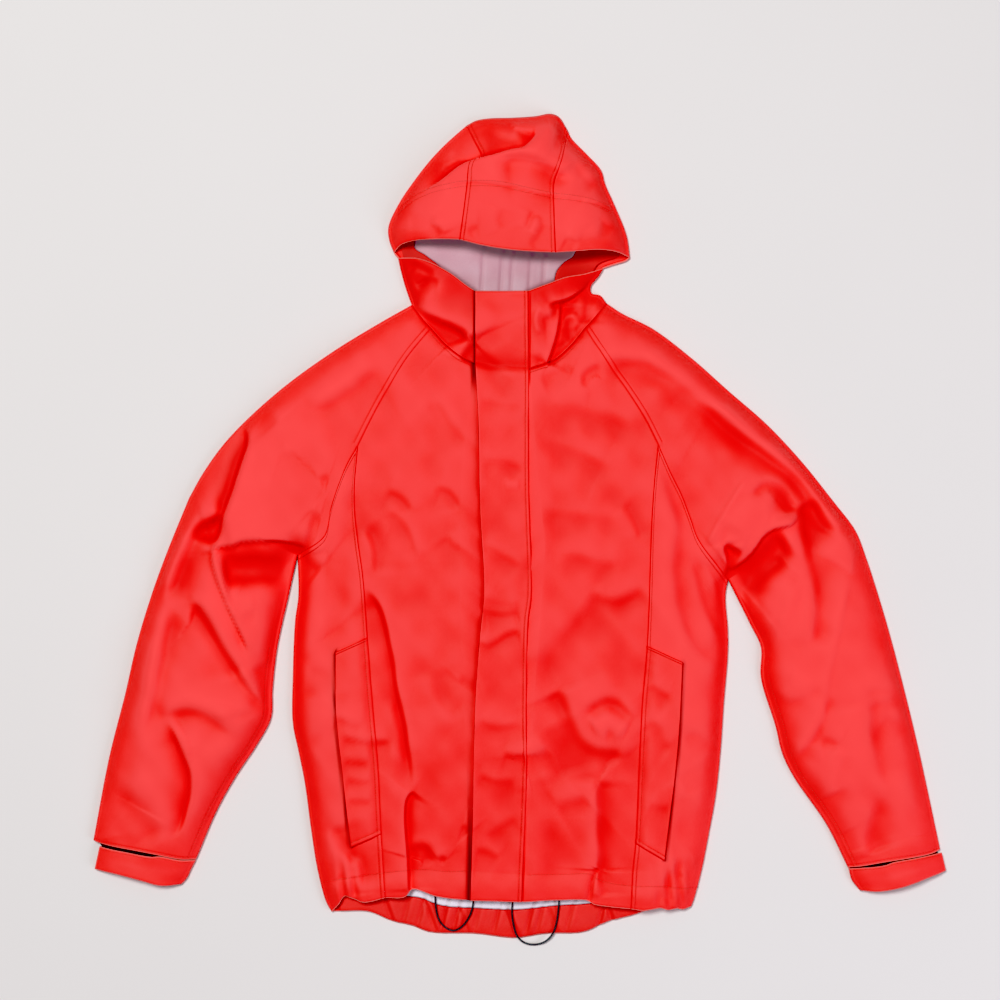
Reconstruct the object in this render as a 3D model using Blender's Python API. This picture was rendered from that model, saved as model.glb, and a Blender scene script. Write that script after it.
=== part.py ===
"""A hooded raincoat laid flat on its back, front upwards, with its sleeves down at its sides.

+X runs to the wearer's left, +Y towards the hood and +Z up from the surface that the coat lies on. Every table and
size is in millimetres, and the meshes are written in metres. "right" and "left" are the wearer's.

Each panel is a sheet: a grid of plan points between four edge curves, lifted to the height of the coat's front or
laid on the surface as its back. Sheets of one cut piece are joined along their folded edges, and the piece is given
its wall by an extrusion inwards.
"""

from typing import NamedTuple

import bmesh
import bpy
import numpy as np

METRE = 0.001

# Cloth
WALL = 1.5
SEAM_GAP = 0.3
FLAP_WALL = 2.4
ZIP_WALL = 1.2
FOLD = 4.0
FOLD_STEPS = (1.2, FOLD)

# Loft: how far the front stands above its folded edges, and how quickly it gets there
BODY_LOFT = 22.0
LOFT_REACH = 35.0
HEM_LOFT_SHARE = 0.42
HEM_LOFT_FROM = -230.0
HEM_LOFT_TO = -430.0
HOOD_LOFT = 36.0
HOOD_REACH = 42.0

# Cords
CORD_DIAMETER = 2.6
CORD_STEP = 2.6 * CORD_DIAMETER

# Grid counts, in steps
RAGLAN_UPPER_STEPS = 6
RAGLAN_LOWER_STEPS = 5
SLEEVE_STEPS = 18
SLEEVE_NECK_STEPS = 3
SLEEVE_FRONT_REFINED = 2
NECK_STEPS = 5
CENTRE_STEPS = 2
ABOVE_POCKET_STEPS = 7
POCKET_STEPS = 7
BELOW_POCKET_STEPS = 3
POCKET_COLUMNS = 2
SIDE_COLUMNS = 3
COLLAR_STEPS = 5
CROWN_STEPS = 8
STRIP_STEPS = 4
BACK_COLUMNS = 8
LINING_STEPS = 9
HEM_WAVE_COLUMNS = 34

# Colours, as linear RGB
CORAL = (0.90, 0.045, 0.035, 1.0)
DEEP_RED = (0.62, 0.02, 0.015, 1.0)
LINING_GREY = (0.42, 0.36, 0.46, 1.0)
CORD_BLACK = (0.012, 0.012, 0.016, 1.0)

RIGHT, LEFT = "right", "left"
OUTWARD = {RIGHT: -1, LEFT: 1}

# Edge and seam curves, each a run of (x, y). A side's curves join end to end where their end points are equal.
COLLAR_FOLD = {
    RIGHT: [(-153, 336), (-150, 322), (-144, 300), (-136, 277)],
    LEFT: [(105, 323), (99, 313), (89, 300), (90, 292), (101, 289), (109, 279)],
}
HOOD_CORNER = {
    RIGHT: [(-158, 342), (-156, 339), (-153, 336)],
    LEFT: [(138, 336), (133, 332), (120, 328), (105, 323)],
}
HOOD_FOLD = {
    RIGHT: [(-67, 502), (-92, 480), (-113, 458), (-134, 431), (-152, 404), (-165, 375), (-164, 358), (-158, 342)],
    LEFT: [(60, 496), (64, 487), (84, 466), (102, 446), (107, 429), (119, 402), (134, 364), (138, 336)],
}
HOOD_TOP = [(-67, 502), (-56, 508), (-40, 511), (-9, 512), (20, 514), (38, 517), (49, 513), (60, 496)]
HOOD_SEAM = {
    RIGHT: [(-67, 502), (-50, 475), (-52, 448), (-65, 425), (-70, 392), (-75, 355)],
    LEFT: [(60, 496), (52, 456), (42, 425), (42, 396), (44, 339)],
}
HOOD_BACK_SEAM = {
    RIGHT: [(-67, 502), (-52, 430), (-45, 345), (-42, 268)],
    LEFT: [(60, 496), (55, 430), (50, 345), (45, 268)],
}
BRIM_EDGE = {
    RIGHT: [(-158, 342), (-150, 350), (-131, 355), (-104, 356), (-75, 355)],
    LEFT: [(138, 336), (124, 341), (98, 343), (72, 341), (44, 339)],
}
BRIM_EDGE_CENTRE = [(-75, 355), (-43, 347), (-10, 342), (18, 340), (44, 339)]
COLLAR_EDGE = {
    RIGHT: [(-153, 336), (-128, 334), (-108, 327), (-85, 314), (-68, 301), (-56, 293)],
    LEFT: [(105, 323), (81, 315), (56, 310), (37, 303), (10, 293)],
}
NECK_SLEEVE = {RIGHT: [(-136, 277), (-124, 261), (-111, 247)], LEFT: [(109, 279), (95, 262), (81, 247)]}
NECK_FRONT = {
    RIGHT: [(-111, 247), (-92, 226), (-73, 211), (-56, 203)],
    LEFT: [(81, 247), (62, 224), (42, 207), (11, 196)],
}
BACK_NECK_SLEEVE = {RIGHT: [(-136, 277), (-116, 273), (-95, 271)], LEFT: [(109, 279), (88, 274), (67, 271)]}
BACK_NECK_SIDE = {RIGHT: [(-95, 271), (-68, 269), (-42, 268)], LEFT: [(67, 271), (56, 269), (45, 268)]}
BACK_NECK_CENTRE = [(-42, 268), (1, 266), (45, 268)]
RAGLAN_UPPER = {
    RIGHT: [(-111, 247), (-140, 211), (-159, 181), (-180, 144), (-202, 100)],
    LEFT: [(81, 247), (110, 202), (131, 172), (154, 136), (172, 101)],
}
RAGLAN_LOWER = {
    RIGHT: [(-202, 100), (-213, 81), (-224, 55), (-235, 22), (-243, -12), (-279, -37)],
    LEFT: [(172, 101), (186, 69), (201, 39), (212, 10), (222, -17), (261, -68)],
}
RAGLAN_BACK = {
    RIGHT: [(-95, 271), (-132, 205), (-180, 115), (-228, 30), (-279, -37)],
    LEFT: [(67, 271), (108, 196), (156, 104), (205, 12), (261, -68)],
}
SHOULDER_FOLD = {
    RIGHT: [(-136, 277), (-175, 255), (-237, 217), (-305, 167), (-366, 109), (-397, 67), (-415, 35)],
    LEFT: [(109, 279), (129, 266), (167, 247), (217, 209), (262, 169), (310, 127), (354, 80), (394, 30)],
}
SLEEVE_FOLD = {
    RIGHT: [(-415, 35), (-440, -26), (-461, -83), (-481, -149), (-495, -210), (-515, -289), (-535, -394)],
    LEFT: [(394, 30), (421, -6), (435, -42), (449, -85), (464, -136), (485, -217), (501, -284), (527, -405)],
}
UNDERARM_FOLD = {
    RIGHT: [(-279, -37), (-290, -88), (-304, -152), (-310, -205), (-312, -241), (-330, -275), (-356, -314),
            (-380, -357), (-406, -418)],
    LEFT: [(261, -68), (289, -124), (302, -152), (302, -190), (320, -250), (329, -286), (344, -316), (384, -374),
           (411, -428)],
}
CUFF_EDGE = {
    RIGHT: [(-535, -394), (-527, -397), (-457, -410), (-425, -417), (-406, -418)],
    LEFT: [(527, -405), (518, -409), (460, -419), (425, -426), (411, -428)],
}
STRAP_EDGE = {
    RIGHT: [(-527, -402), (-494, -408), (-457, -414), (-426, -420), (-406.5, -419.5)],
    LEFT: [(529, -411), (482, -420), (450, -426), (425, -430), (412, -430)],
}
STRAP_FOLD = {
    RIGHT: [(-406.5, -419.5), (-413, -432), (-417, -441), (-424, -449)],
    LEFT: [(412, -430), (416, -444), (426, -457)],
}
STRAP_HEM = {
    RIGHT: [(-533, -430), (-505, -435), (-477, -442), (-453, -449), (-443, -450), (-424, -449)],
    LEFT: [(534, -432), (510, -440), (478, -451), (450, -457), (426, -457)],
}
STRAP_END = {RIGHT: [(-527, -402), (-533, -430)], LEFT: [(529, -411), (534, -432)]}
SIDE_FOLD = {
    RIGHT: [(-279, -37), (-278, -88), (-282, -118), (-285, -190), (-285, -247), (-278, -282), (-270, -322),
            (-262, -381), (-254, -431), (-243, -472), (-236, -484)],
    LEFT: [(261, -68), (258, -88), (261, -130), (261, -160), (256, -221), (252, -279), (246, -336), (237, -386),
           (229, -427), (219, -466), (215, -477)],
}
PRINCESS = {
    RIGHT: [(-202, 100), (-206, 49), (-206, 22), (-202, -19), (-196, -60), (-190, -139), (-184, -216), (-177, -297),
            (-173, -384), (-171, -420), (-168, -464)],
    LEFT: [(172, 101), (167, 55), (164, 12), (162, -42), (160, -106), (158, -149), (152, -221), (149, -279),
           (144, -396), (141, -425), (138, -478)],
}
FLAP_EDGE = {
    RIGHT: [(-56, 203), (-52, 130), (-50, 22), (-45, -80), (-50, -135), (-55, -201), (-58, -285), (-59, -352),
            (-62, -467)],
    LEFT: [(11, 196), (11, 49), (14, -86), (10, -118), (8, -219), (8, -319), (4, -419), (2, -469)],
}
CENTRE_FRONT = [(-21, 197), (-20, 22), (-16, -80), (-22, -201), (-25, -300), (-30, -468)]
FRONT_HEM = {
    RIGHT: [(-168, -464), (-144, -463), (-134, -453), (-105, -462), (-85, -465), (-62, -467)],
    LEFT: [(138, -478), (109, -475), (92, -472), (84, -467), (45, -467), (2, -469)],
}
SIDE_HEM = {
    RIGHT: [(-236, -484), (-227, -474), (-219, -463), (-210, -465), (-195, -470), (-168, -464)],
    LEFT: [(215, -477), (203, -480), (196, -478), (186, -480), (176, -477), (154, -480), (138, -478)],
}
BACK_HEM = [
    (-236, -484), (-190, -484), (-161, -496), (-135, -502), (-114, -510), (-56, -512), (-6, -517.5), (32, -512),
    (80, -510), (109, -497), (141, -489), (170, -480), (215, -477),
]
CASING_SEAM = [
    (-226, -454), (-180, -459), (-144, -464), (-126, -466), (-98, -476), (-58, -479), (-4, -481), (45, -476),
    (89, -473), (140, -462), (205, -452),
]
CASING_HEM = [
    (-226, -483), (-190, -483.6), (-161, -495), (-135, -501), (-114, -509), (-56, -511), (-6, -516.5), (32, -511),
    (80, -509), (109, -496.4), (141, -488), (170, -479), (205, -476.6),
]
LINING_TOP = [(-226, -400), (-100, -410), (0, -412), (100, -410), (205, -400)]

# Pocket welts, as their corners (x, y): on the princess seam at the top and bottom, and at the free edge
WELT_TOP = {RIGHT: (-230, -157), LEFT: (202, -169)}
WELT_BOTTOM = {RIGHT: (-211, -401), LEFT: (180, -417)}
WELT_FREE_EDGE = {
    RIGHT: [(-230, -157), (-229, -235), (-221, -312), (-211, -401)],
    LEFT: [(202, -169), (199, -234), (195, -290), (180, -417)],
}
WELT_SEAM_TOP = {RIGHT: (-190, -139), LEFT: (158, -149)}
WELT_SEAM_BOTTOM = {RIGHT: (-173, -384), LEFT: (144, -396)}
WELT_SIDE_TOP = {RIGHT: (-284, -178), LEFT: (256, -200)}
WELT_SIDE_BOTTOM = {RIGHT: (-256, -418), LEFT: (231, -428)}

# Hood lining and the facings that show beside it at the corners of the face opening
LINING_SIDE = {
    RIGHT: [(-92, 430), (-133, 351), (-118, 339), (-99, 322), (-98, 290), (-90, 276)],
    LEFT: [(78, 430), (68, 340), (56, 331), (46, 319), (43, 300), (42, 276)],
}
FACING_FOLD = {
    RIGHT: [(-136, 410), (-150, 370), (-148, 345), (-142, 325), (-130, 290)],
    LEFT: [(100, 420), (122, 365), (126, 341), (98, 328), (88, 310)],
}

# The folds that show most, each a path of (x, y) with the reach and height of its ridge, or depth of its trough


class Crease(NamedTuple):
    """A soft ridge, or a trough where the height is negative."""

    reach: float
    height: float
    path: list


CREASES = [
    # right sleeve: the deep fold across the armpit and those that fall from it
    Crease(13, -9, [(-378, -44), (-340, -40), (-300, -42)]),
    Crease(16, 8, [(-372, -12), (-326, 0), (-282, -4)]),
    Crease(14, 8, [(-346, 126), (-354, 70), (-374, 9), (-384, -29)]),
    Crease(14, -7, [(-376, 12), (-407, -11), (-427, -57), (-447, -87)]),
    Crease(12, 6, [(-412, -95), (-380, -130), (-341, -177)]),
    Crease(12, -6, [(-438, -232), (-405, -221), (-367, -230), (-324, -232)]),
    Crease(12, -5, [(-412, -310), (-414, -345), (-424, -375)]),
    # left sleeve: the trough along the shoulder, the roll above the armpit and those that fall from it
    Crease(18, -8, [(114, 211), (217, 155), (301, 89), (371, 19), (394, -9)]),
    Crease(16, 9, [(243, 0), (262, 38), (301, 60), (340, 39), (358, -15), (364, -70)]),
    Crease(14, -9, [(278, -56), (310, -30), (340, -10)]),
    Crease(12, -8, [(355, 10), (366, -50), (369, -100), (354, -151)]),
    Crease(12, -5, [(316, -205), (340, -216), (374, -190)]),
    Crease(12, -5, [(434, -215), (436, -270), (450, -312)]),
    Crease(12, -5, [(341, -295), (361, -277), (372, -241)]),
    # body
    Crease(14, -5, [(-190, -80), (-160, -142), (-145, -229), (-136, -280), (-139, -329)]),
    Crease(11, -4, [(-140, -360), (-139, -427), (-136, -451)]),
    Crease(14, -5, [(50, -205), (67, -251), (90, -283), (127, -286)]),
    Crease(12, -6, [(97, -319), (94, -379), (96, -432), (88, -466)]),
    Crease(14, -4, [(10, -171), (40, -145), (67, -125)]),
    Crease(9, 4, [(-226, -440), (-228, -472)]),
    Crease(9, -4, [(-214, -440), (-214, -464)]),
    Crease(9, 4, [(-203, -436), (-200, -470)]),
    # collar
    Crease(13, -8, [(-143, 322), (-126, 280), (-98, 254), (-68, 232)]),
    Crease(11, 7, [(50, 274), (44, 240), (36, 208)]),
    Crease(12, -6, [(80, 296), (70, 270), (58, 240)]),
]
CROWN_CREASES = [
    Crease(16, 9, [(-98, 429), (-68, 447), (-30, 462), (10, 469), (20, 485)]),
    Crease(16, -8, [(-20, 442), (30, 436), (66, 424)]),
]


# ---------------------------------------------------------------- curves


def smooth(points, steps=10):
    """A close run of points along the rounded curve through the given ones."""
    knots = np.array(points, float)
    if len(knots) == 2:
        return knots
    knots = np.vstack([2 * knots[0] - knots[1], knots, 2 * knots[-1] - knots[-2]])
    times = np.concatenate([[0], np.cumsum(np.sqrt(np.linalg.norm(np.diff(knots, axis=0), axis=1)))])
    run = [knots[1]]
    for k in range(1, len(knots) - 2):
        t0, t1, t2, t3 = times[k - 1 : k + 3]
        for t in np.linspace(t1, t2, steps + 1)[1:]:
            a = [
                ((hi - t) * knots[k + n - 1] + (t - lo) * knots[k + n]) / (hi - lo)
                for n, (lo, hi) in enumerate(((t0, t1), (t1, t2), (t2, t3)))
            ]
            b = [((t2 - t) * a[0] + (t - t0) * a[1]) / (t2 - t0), ((t3 - t) * a[1] + (t - t1) * a[2]) / (t3 - t1)]
            run.append(((t2 - t) * b[0] + (t - t1) * b[1]) / (t2 - t1))
    return np.array(run)


def distances_along(run):
    """How far along the run each of its points lies."""
    return np.concatenate([[0], np.cumsum(np.linalg.norm(np.diff(run, axis=0), axis=1))])


def along(points, count):
    """count + 1 points, evenly spaced along the curve through the given ones."""
    run = smooth(points)
    lengths = distances_along(run)
    at = np.linspace(0, lengths[-1], count + 1)
    return np.column_stack([np.interp(at, lengths, run[:, axis]) for axis in range(run.shape[1])])


def split(points, *places):
    """The parts of a curve before, between and after the given places on it."""
    run = smooth(points)
    cuts = [0] + [int(np.argmin(np.linalg.norm(run - place, axis=1))) for place in places] + [len(run) - 1]
    return [run[first : last + 1] for first, last in zip(cuts[:-1], cuts[1:])]


def joined(*runs):
    """Runs that meet end to end, as one."""
    return np.vstack([runs[0]] + [run[1:] for run in runs[1:]])


def refined(run, steps):
    """The same straight pieces, each cut into that many."""
    parts = [run[k] + (run[k + 1] - run[k]) * step / steps for k in range(len(run) - 1) for step in range(steps)]
    return np.vstack(parts + [run[-1:]])


def with_fold(run, first=False, last=False):
    """The run with close stations added where it starts, or ends, in a folded edge."""
    if last:
        run = with_fold(run[::-1], first=True)[::-1]
    if first:
        way = run[1] - run[0]
        length = np.linalg.norm(way)
        steps = [run[0] + way * min(step / length, share) for step, share in zip(FOLD_STEPS, (0.2, 0.6))]
        run = np.vstack([run[:1], steps, run[1:]])
    return run


# ---------------------------------------------------------------- heights


def to_run(points, run):
    """The distance from each point to the nearest place on the run."""
    nearest = np.full(len(points), np.inf)
    for start, end in zip(run[:-1], run[1:]):
        way = end - start
        share = np.clip((points - start) @ way / max(way @ way, 1e-9), 0, 1)
        nearest = np.minimum(nearest, np.linalg.norm(points - start - share[:, None] * way, axis=1))
    return nearest


def inside(points, outline):
    """Whether each point is inside the closed outline."""
    odd = np.zeros(len(points), bool)
    for (x0, y0), (x1, y1) in zip(outline, np.roll(outline, -1, axis=0)):
        if y0 == y1:
            continue
        crosses = (points[:, 1] > y0) != (points[:, 1] > y1)
        odd ^= crosses & (points[:, 0] < x0 + (points[:, 1] - y0) * (x1 - x0) / (y1 - y0))
    return odd


class FoldedEdge:
    """An edge where the front turns under to the back, with the bare surface beyond it."""

    def __init__(self, run, beyond):
        self.run = run
        self.outline = np.vstack([run, beyond]) if len(beyond) else run

    def depth(self, points):
        """How far inside the cloth each point lies, negative beyond the edge."""
        return to_run(points, self.run) * np.where(inside(points, self.outline), -1, 1)


def armpit_edge(side):
    """The gap between a sleeve and the body, from the cuff up to the armpit and down to the hem."""
    way = OUTWARD[side]
    sleeve = joined(smooth(UNDERARM_FOLD[side]), smooth(STRAP_FOLD[side]))[::-1]
    body = smooth(SIDE_FOLD[side])
    low_sleeve = sleeve[0] + [way * 12, -60]
    low_body = body[-1] + [way * -8, -60]
    return FoldedEdge(np.vstack([low_sleeve, sleeve, body[1:], low_body]), [])


def shoulder_edge(side):
    """The outer edge of the collar, shoulder and sleeve."""
    way = OUTWARD[side]
    run = joined(smooth(COLLAR_FOLD[side]), smooth(SHOULDER_FOLD[side]), smooth(SLEEVE_FOLD[side]))
    strap = np.array(STRAP_END[side]) + [way * 2, 0]
    low = strap[-1] + [way * 5, -60]
    high = run[0] + [0, 60]
    return FoldedEdge(np.vstack([high, run, strap, low]), [(way * 900, low[1]), (way * 900, high[1])])


FRONT_EDGES = [edge(side) for side in (RIGHT, LEFT) for edge in (armpit_edge, shoulder_edge)]
HOOD_OUTLINE = joined(
    smooth(HOOD_FOLD[RIGHT])[::-1],
    smooth(HOOD_TOP),
    smooth(HOOD_FOLD[LEFT]),
)
HOOD_EDGE = FoldedEdge(
    np.vstack([HOOD_OUTLINE[0] + [4, -60], HOOD_OUTLINE, HOOD_OUTLINE[-1] + [-4, -60]]),
    [(900, 276), (900, 900), (-900, 900), (-900, 276)],
)


def fold_height(depth, turn):
    """The height of the turn of a folded edge, over its middle (turn 1) or under it (turn -1)."""
    inner = np.clip(np.abs(depth), 0, FOLD)
    return FOLD + turn * np.sign(depth) * np.sqrt(FOLD**2 - (FOLD - inner) ** 2)


def ramp(values, start, end):
    """0 before the start and 1 past the end, with a soft rise between them."""
    share = np.clip((values - start) / (end - start), 0, 1)
    return share * share * (3 - 2 * share)


def crease_height(points, creases):
    height = np.zeros(len(points))
    for crease in creases:
        run = smooth(crease.path, 4)
        height += crease.height * np.exp(-((to_run(points, run) / crease.reach) ** 2))
    return height


def lofted(points, edges, loft, reach, creases):
    """The height of a sheet that stands on folded edges and swells between them."""
    depths = [edge.depth(points) for edge in edges]
    nearest = np.min(depths, axis=0)
    swell = np.prod([1 - np.exp(-np.clip(depth - FOLD, 0, None) / reach) for depth in depths], axis=0)
    rise = (loft + crease_height(points, creases)) * swell
    return fold_height(nearest, 1) + rise


def front_height(points):
    """The height of the coat's front, sleeves and collar."""
    flat = 1 - HEM_LOFT_SHARE
    loft = BODY_LOFT * (1 - flat * ramp(points[:, 1], HEM_LOFT_FROM, HEM_LOFT_TO))
    return lofted(points, FRONT_EDGES, loft, LOFT_REACH, CREASES)


def crown_height(points):
    """The height of the hood's crown, above its face opening."""
    return lofted(points, [HOOD_EDGE], HOOD_LOFT, HOOD_REACH, CROWN_CREASES)


def back_height(points):
    """The height of the back, which lies on the surface but for its folded edges."""
    depths = [edge.depth(points) for edge in FRONT_EDGES]
    return fold_height(np.min(depths, axis=0), -1)


def hood_back_height(points):
    return fold_height(HOOD_EDGE_BACK.depth(points), -1)


HOOD_EDGE_BACK = FoldedEdge(
    joined(
        smooth(COLLAR_FOLD[RIGHT])[::-1],
        smooth(HOOD_CORNER[RIGHT])[::-1],
        HOOD_OUTLINE,
        smooth(HOOD_CORNER[LEFT]),
        smooth(COLLAR_FOLD[LEFT]),
    ),
    [(900, 276), (900, 900), (-900, 900), (-900, 276)],
)


def casing_height(points):
    """The top of the gathered casing inside the back hem, and of the lining sewn to it."""
    x, y = points[:, 0], points[:, 1]
    wave = 0.5 + 0.5 * np.sin(x / 6.2 + 1.3 * np.sin(x / 23.0) + 0.9)
    full = ramp(y, -425, -470) * (1 - 0.75 * ramp(y, -495, -517))
    return WALL + SEAM_GAP + WALL + 2.6 * wave * full


def level(height):
    return lambda points: np.full(len(points), height)


def normals_of(height, points, turn):
    """The outward direction of a sheet at each point, up for turn 1 and down for turn -1."""
    step = 0.5
    slope_x = (height(points + [step, 0]) - height(points - [step, 0])) / (2 * step)
    slope_y = (height(points + [0, step]) - height(points - [0, step])) / (2 * step)
    normals = np.column_stack([-slope_x, -slope_y, np.ones(len(points))]) * turn
    return normals / np.linalg.norm(normals, axis=1)[:, None]


# ---------------------------------------------------------------- sheets


class Sheet:
    """A grid of points on the outer face of the cloth, with its outward direction at each.

    Rows run down the garment and columns to the wearer's left. seams names the edges that are sewn to another
    piece, which draw back by half the seam gap; folds names those that join another sheet of the same piece.
    """

    def __init__(self, top, bottom, left, right, height, turn=1, seams="", folds="", side_seam=0.0):
        top, bottom = top.copy(), bottom.copy()
        top[0], top[-1], bottom[0], bottom[-1] = left[0], right[0], left[-1], right[-1]
        plan = coons(top, bottom, left, right)
        flat = plan.reshape(-1, 2)
        z = height(flat).reshape(plan.shape[:2])
        normals = normals_of(height, flat, turn).reshape(*plan.shape[:2], 3)
        for edge in folds.split():
            z[edge_index(edge)] = FOLD + side_seam
            level_out(normals, edge)
        plan = drawn_back(plan, seams.split())
        self.points = np.dstack([plan, z])
        self.normals = normals

    def columns(self, first, last):
        return self.points[:, first:last], self.normals[:, first:last]


def edge_index(edge):
    return {"top": np.s_[0, :], "bottom": np.s_[-1, :], "left": np.s_[:, 0], "right": np.s_[:, -1]}[edge]


def level_out(normals, edge):
    """Turns the outward directions along a folded edge level."""
    index = edge_index(edge)
    normals[index][..., 2] = 0
    length = np.linalg.norm(normals[index], axis=-1, keepdims=True)
    normals[index] = normals[index] / np.clip(length, 1e-6, None)


def shares(run):
    """How far along its run each point lies, from 0 to 1."""
    lengths = distances_along(run)
    return lengths / lengths[-1] if lengths[-1] > 1e-6 else np.linspace(0, 1, len(run))


def coons(top, bottom, left, right):
    """The plan grid that four edge curves carry: left and right have a point a row, top and bottom one a column."""
    across_top, across_bottom = shares(top), shares(bottom)
    if np.allclose(top[0], top[-1]):
        across_top = across_bottom
    down_left, down_right = shares(left), shares(right)
    mid_down = ((down_left + down_right) / 2)[:, None]
    mid_across = ((across_top + across_bottom) / 2)[None, :]
    u = ((1 - mid_down) * across_top + mid_down * across_bottom)[..., None]
    v = ((1 - mid_across) * down_left[:, None] + mid_across * down_right[:, None])[..., None]
    corners = (1 - u) * ((1 - v) * left[0] + v * left[-1]) + u * ((1 - v) * right[0] + v * right[-1])
    edges = (1 - v) * top[None, :] + v * bottom[None, :] + (1 - u) * left[:, None] + u * right[:, None]
    return edges - corners


def drawn_back(plan, seams):
    """The plan grid with its sewn edges moved in by half the seam gap."""
    moved = plan.copy()
    for edge in seams:
        index = edge_index(edge)
        line = plan[index]
        tangent = np.gradient(line, axis=0)
        across = np.column_stack([-tangent[:, 1], tangent[:, 0]])
        length = np.linalg.norm(across, axis=1, keepdims=True)
        across = np.divide(across, length, out=np.zeros_like(across), where=length > 1e-9)
        across[length[:, 0] <= 1e-9] = across[-1]
        middle = plan.mean(axis=(0, 1)) - line.mean(axis=0)
        sign = np.sign((across * middle).sum(axis=1).mean())
        moved[index] += across * sign * SEAM_GAP / 2
    return moved


# ---------------------------------------------------------------- solids


def material(name, colour, roughness):
    made = bpy.data.materials.new(name)
    made.use_nodes = True
    shader = made.node_tree.nodes["Principled BSDF"]
    shader.inputs["Base Color"].default_value = colour
    shader.inputs["Roughness"].default_value = roughness
    shader.inputs["Metallic"].default_value = 0.0
    made.diffuse_color = colour
    return made


def lay_grid(mesh, points, inward):
    """Adds a flat grid and moves its points onto the sheet, with the way inwards kept on each."""
    rows, columns = points.shape[0] - 1, points.shape[1] - 1
    into_wall = mesh.verts.layers.float_vector["inward"]
    for vert in bmesh.ops.create_grid(mesh, x_segments=columns, y_segments=rows, size=0.5)["verts"]:
        row, column = round((0.5 - vert.co.y) * rows), round((vert.co.x + 0.5) * columns)
        vert.co = points[row, column] * METRE
        vert[into_wall] = inward[row, column] * METRE


def cloth(name, sheets, look, wall=WALL):
    """A named wall of cloth: the sheets, joined where they fold or meet, and as thick as the wall inwards."""
    mesh = bmesh.new()
    into_wall = mesh.verts.layers.float_vector.new("inward")
    for points, normals in sheets:
        lay_grid(mesh, points, -normals * wall)
    bmesh.ops.remove_doubles(mesh, verts=mesh.verts[:], dist=0.00002)
    bmesh.ops.triangulate(mesh, faces=mesh.faces[:], quad_method="FIXED")
    face = mesh.verts[:] + mesh.edges[:] + mesh.faces[:]
    made = bmesh.ops.extrude_face_region(mesh, geom=face, use_keep_orig=True)["geom"]
    for vert in (item for item in made if isinstance(item, bmesh.types.BMVert)):
        vert.co += vert[into_wall]
    bmesh.ops.recalc_face_normals(mesh, faces=mesh.faces[:])
    return add_object(name, mesh, look)


def add_object(name, mesh, look):
    data = bpy.data.meshes.new(name)
    mesh.to_mesh(data)
    mesh.free()
    data.materials.append(look)
    data.shade_smooth()
    made = bpy.data.objects.new(name, data)
    bpy.context.scene.collection.objects.link(made)
    return made


def faces_of(*sheets):
    return [(sheet.points, sheet.normals) for sheet in sheets]


def beyond(sheets, distance):
    """The same points moved out along their directions, or in where the distance is negative."""
    return [(points + normals * distance, normals) for points, normals in sheets]


def cord(name, route, look):
    """A round cord through the points of its route (x, y, z)."""
    steps = max(2, round(distances_along(smooth(route))[-1] / CORD_STEP))
    curve = bpy.data.curves.new(name, "CURVE")
    curve.dimensions = "3D"
    curve.bevel_depth = CORD_DIAMETER / 2 * METRE
    curve.bevel_resolution = 2
    curve.use_fill_caps = True
    spline = curve.splines.new("POLY")
    spline.points.add(steps)
    for point, place in zip(spline.points, along(route, steps)):
        point.co = (*(place * METRE), 1.0)
    curve.materials.append(look)
    made = bpy.data.objects.new(name, curve)
    bpy.context.scene.collection.objects.link(made)
    return made


# ---------------------------------------------------------------- seams, sampled once for both of their sides


class SideCurves:
    """The sampled seams and edges of one side of the coat."""

    def __init__(self, side):
        self.side = side
        self.raglan_upper = along(RAGLAN_UPPER[side], RAGLAN_UPPER_STEPS)
        self.raglan_lower = along(RAGLAN_LOWER[side], RAGLAN_LOWER_STEPS)
        self.raglan_back = along(RAGLAN_BACK[side], RAGLAN_UPPER_STEPS + RAGLAN_LOWER_STEPS)
        self.shoulder = along(SHOULDER_FOLD[side], RAGLAN_UPPER_STEPS + RAGLAN_LOWER_STEPS)
        self.sleeve_outer = along(SLEEVE_FOLD[side], SLEEVE_STEPS)
        self.sleeve_inner = along(UNDERARM_FOLD[side], SLEEVE_STEPS)
        self.neck_sleeve = along(NECK_SLEEVE[side], SLEEVE_NECK_STEPS)
        self.neck_front = along(NECK_FRONT[side], NECK_STEPS)
        self.back_neck_sleeve = along(BACK_NECK_SLEEVE[side], SLEEVE_NECK_STEPS)
        self.back_neck_side = along(BACK_NECK_SIDE[side], 2)
        steps = (ABOVE_POCKET_STEPS, POCKET_STEPS, BELOW_POCKET_STEPS)
        princess = split(PRINCESS[side], WELT_SEAM_TOP[side], WELT_SEAM_BOTTOM[side])
        edge = split(SIDE_FOLD[side], WELT_SIDE_TOP[side], WELT_SIDE_BOTTOM[side])
        self.princess = [along(run, count) for run, count in zip(princess, steps)]
        self.side_fold = [along(run, count) for run, count in zip(edge, steps)]
        body_steps = RAGLAN_UPPER_STEPS + sum(steps)
        self.flap_edge = along(FLAP_EDGE[side], body_steps)
        self.centre = along(CENTRE_FRONT, body_steps)
        self.collar_fold = along(COLLAR_FOLD[side], COLLAR_STEPS)
        self.hood_fold = along(HOOD_FOLD[side], CROWN_STEPS)
        self.hood_corner = along(HOOD_CORNER[side], 2)
        self.hood_seam = along(HOOD_SEAM[side], CROWN_STEPS)
        self.hood_back_seam = along(HOOD_BACK_SEAM[side], CROWN_STEPS + len(self.hood_corner) - 1 + COLLAR_STEPS)


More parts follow.
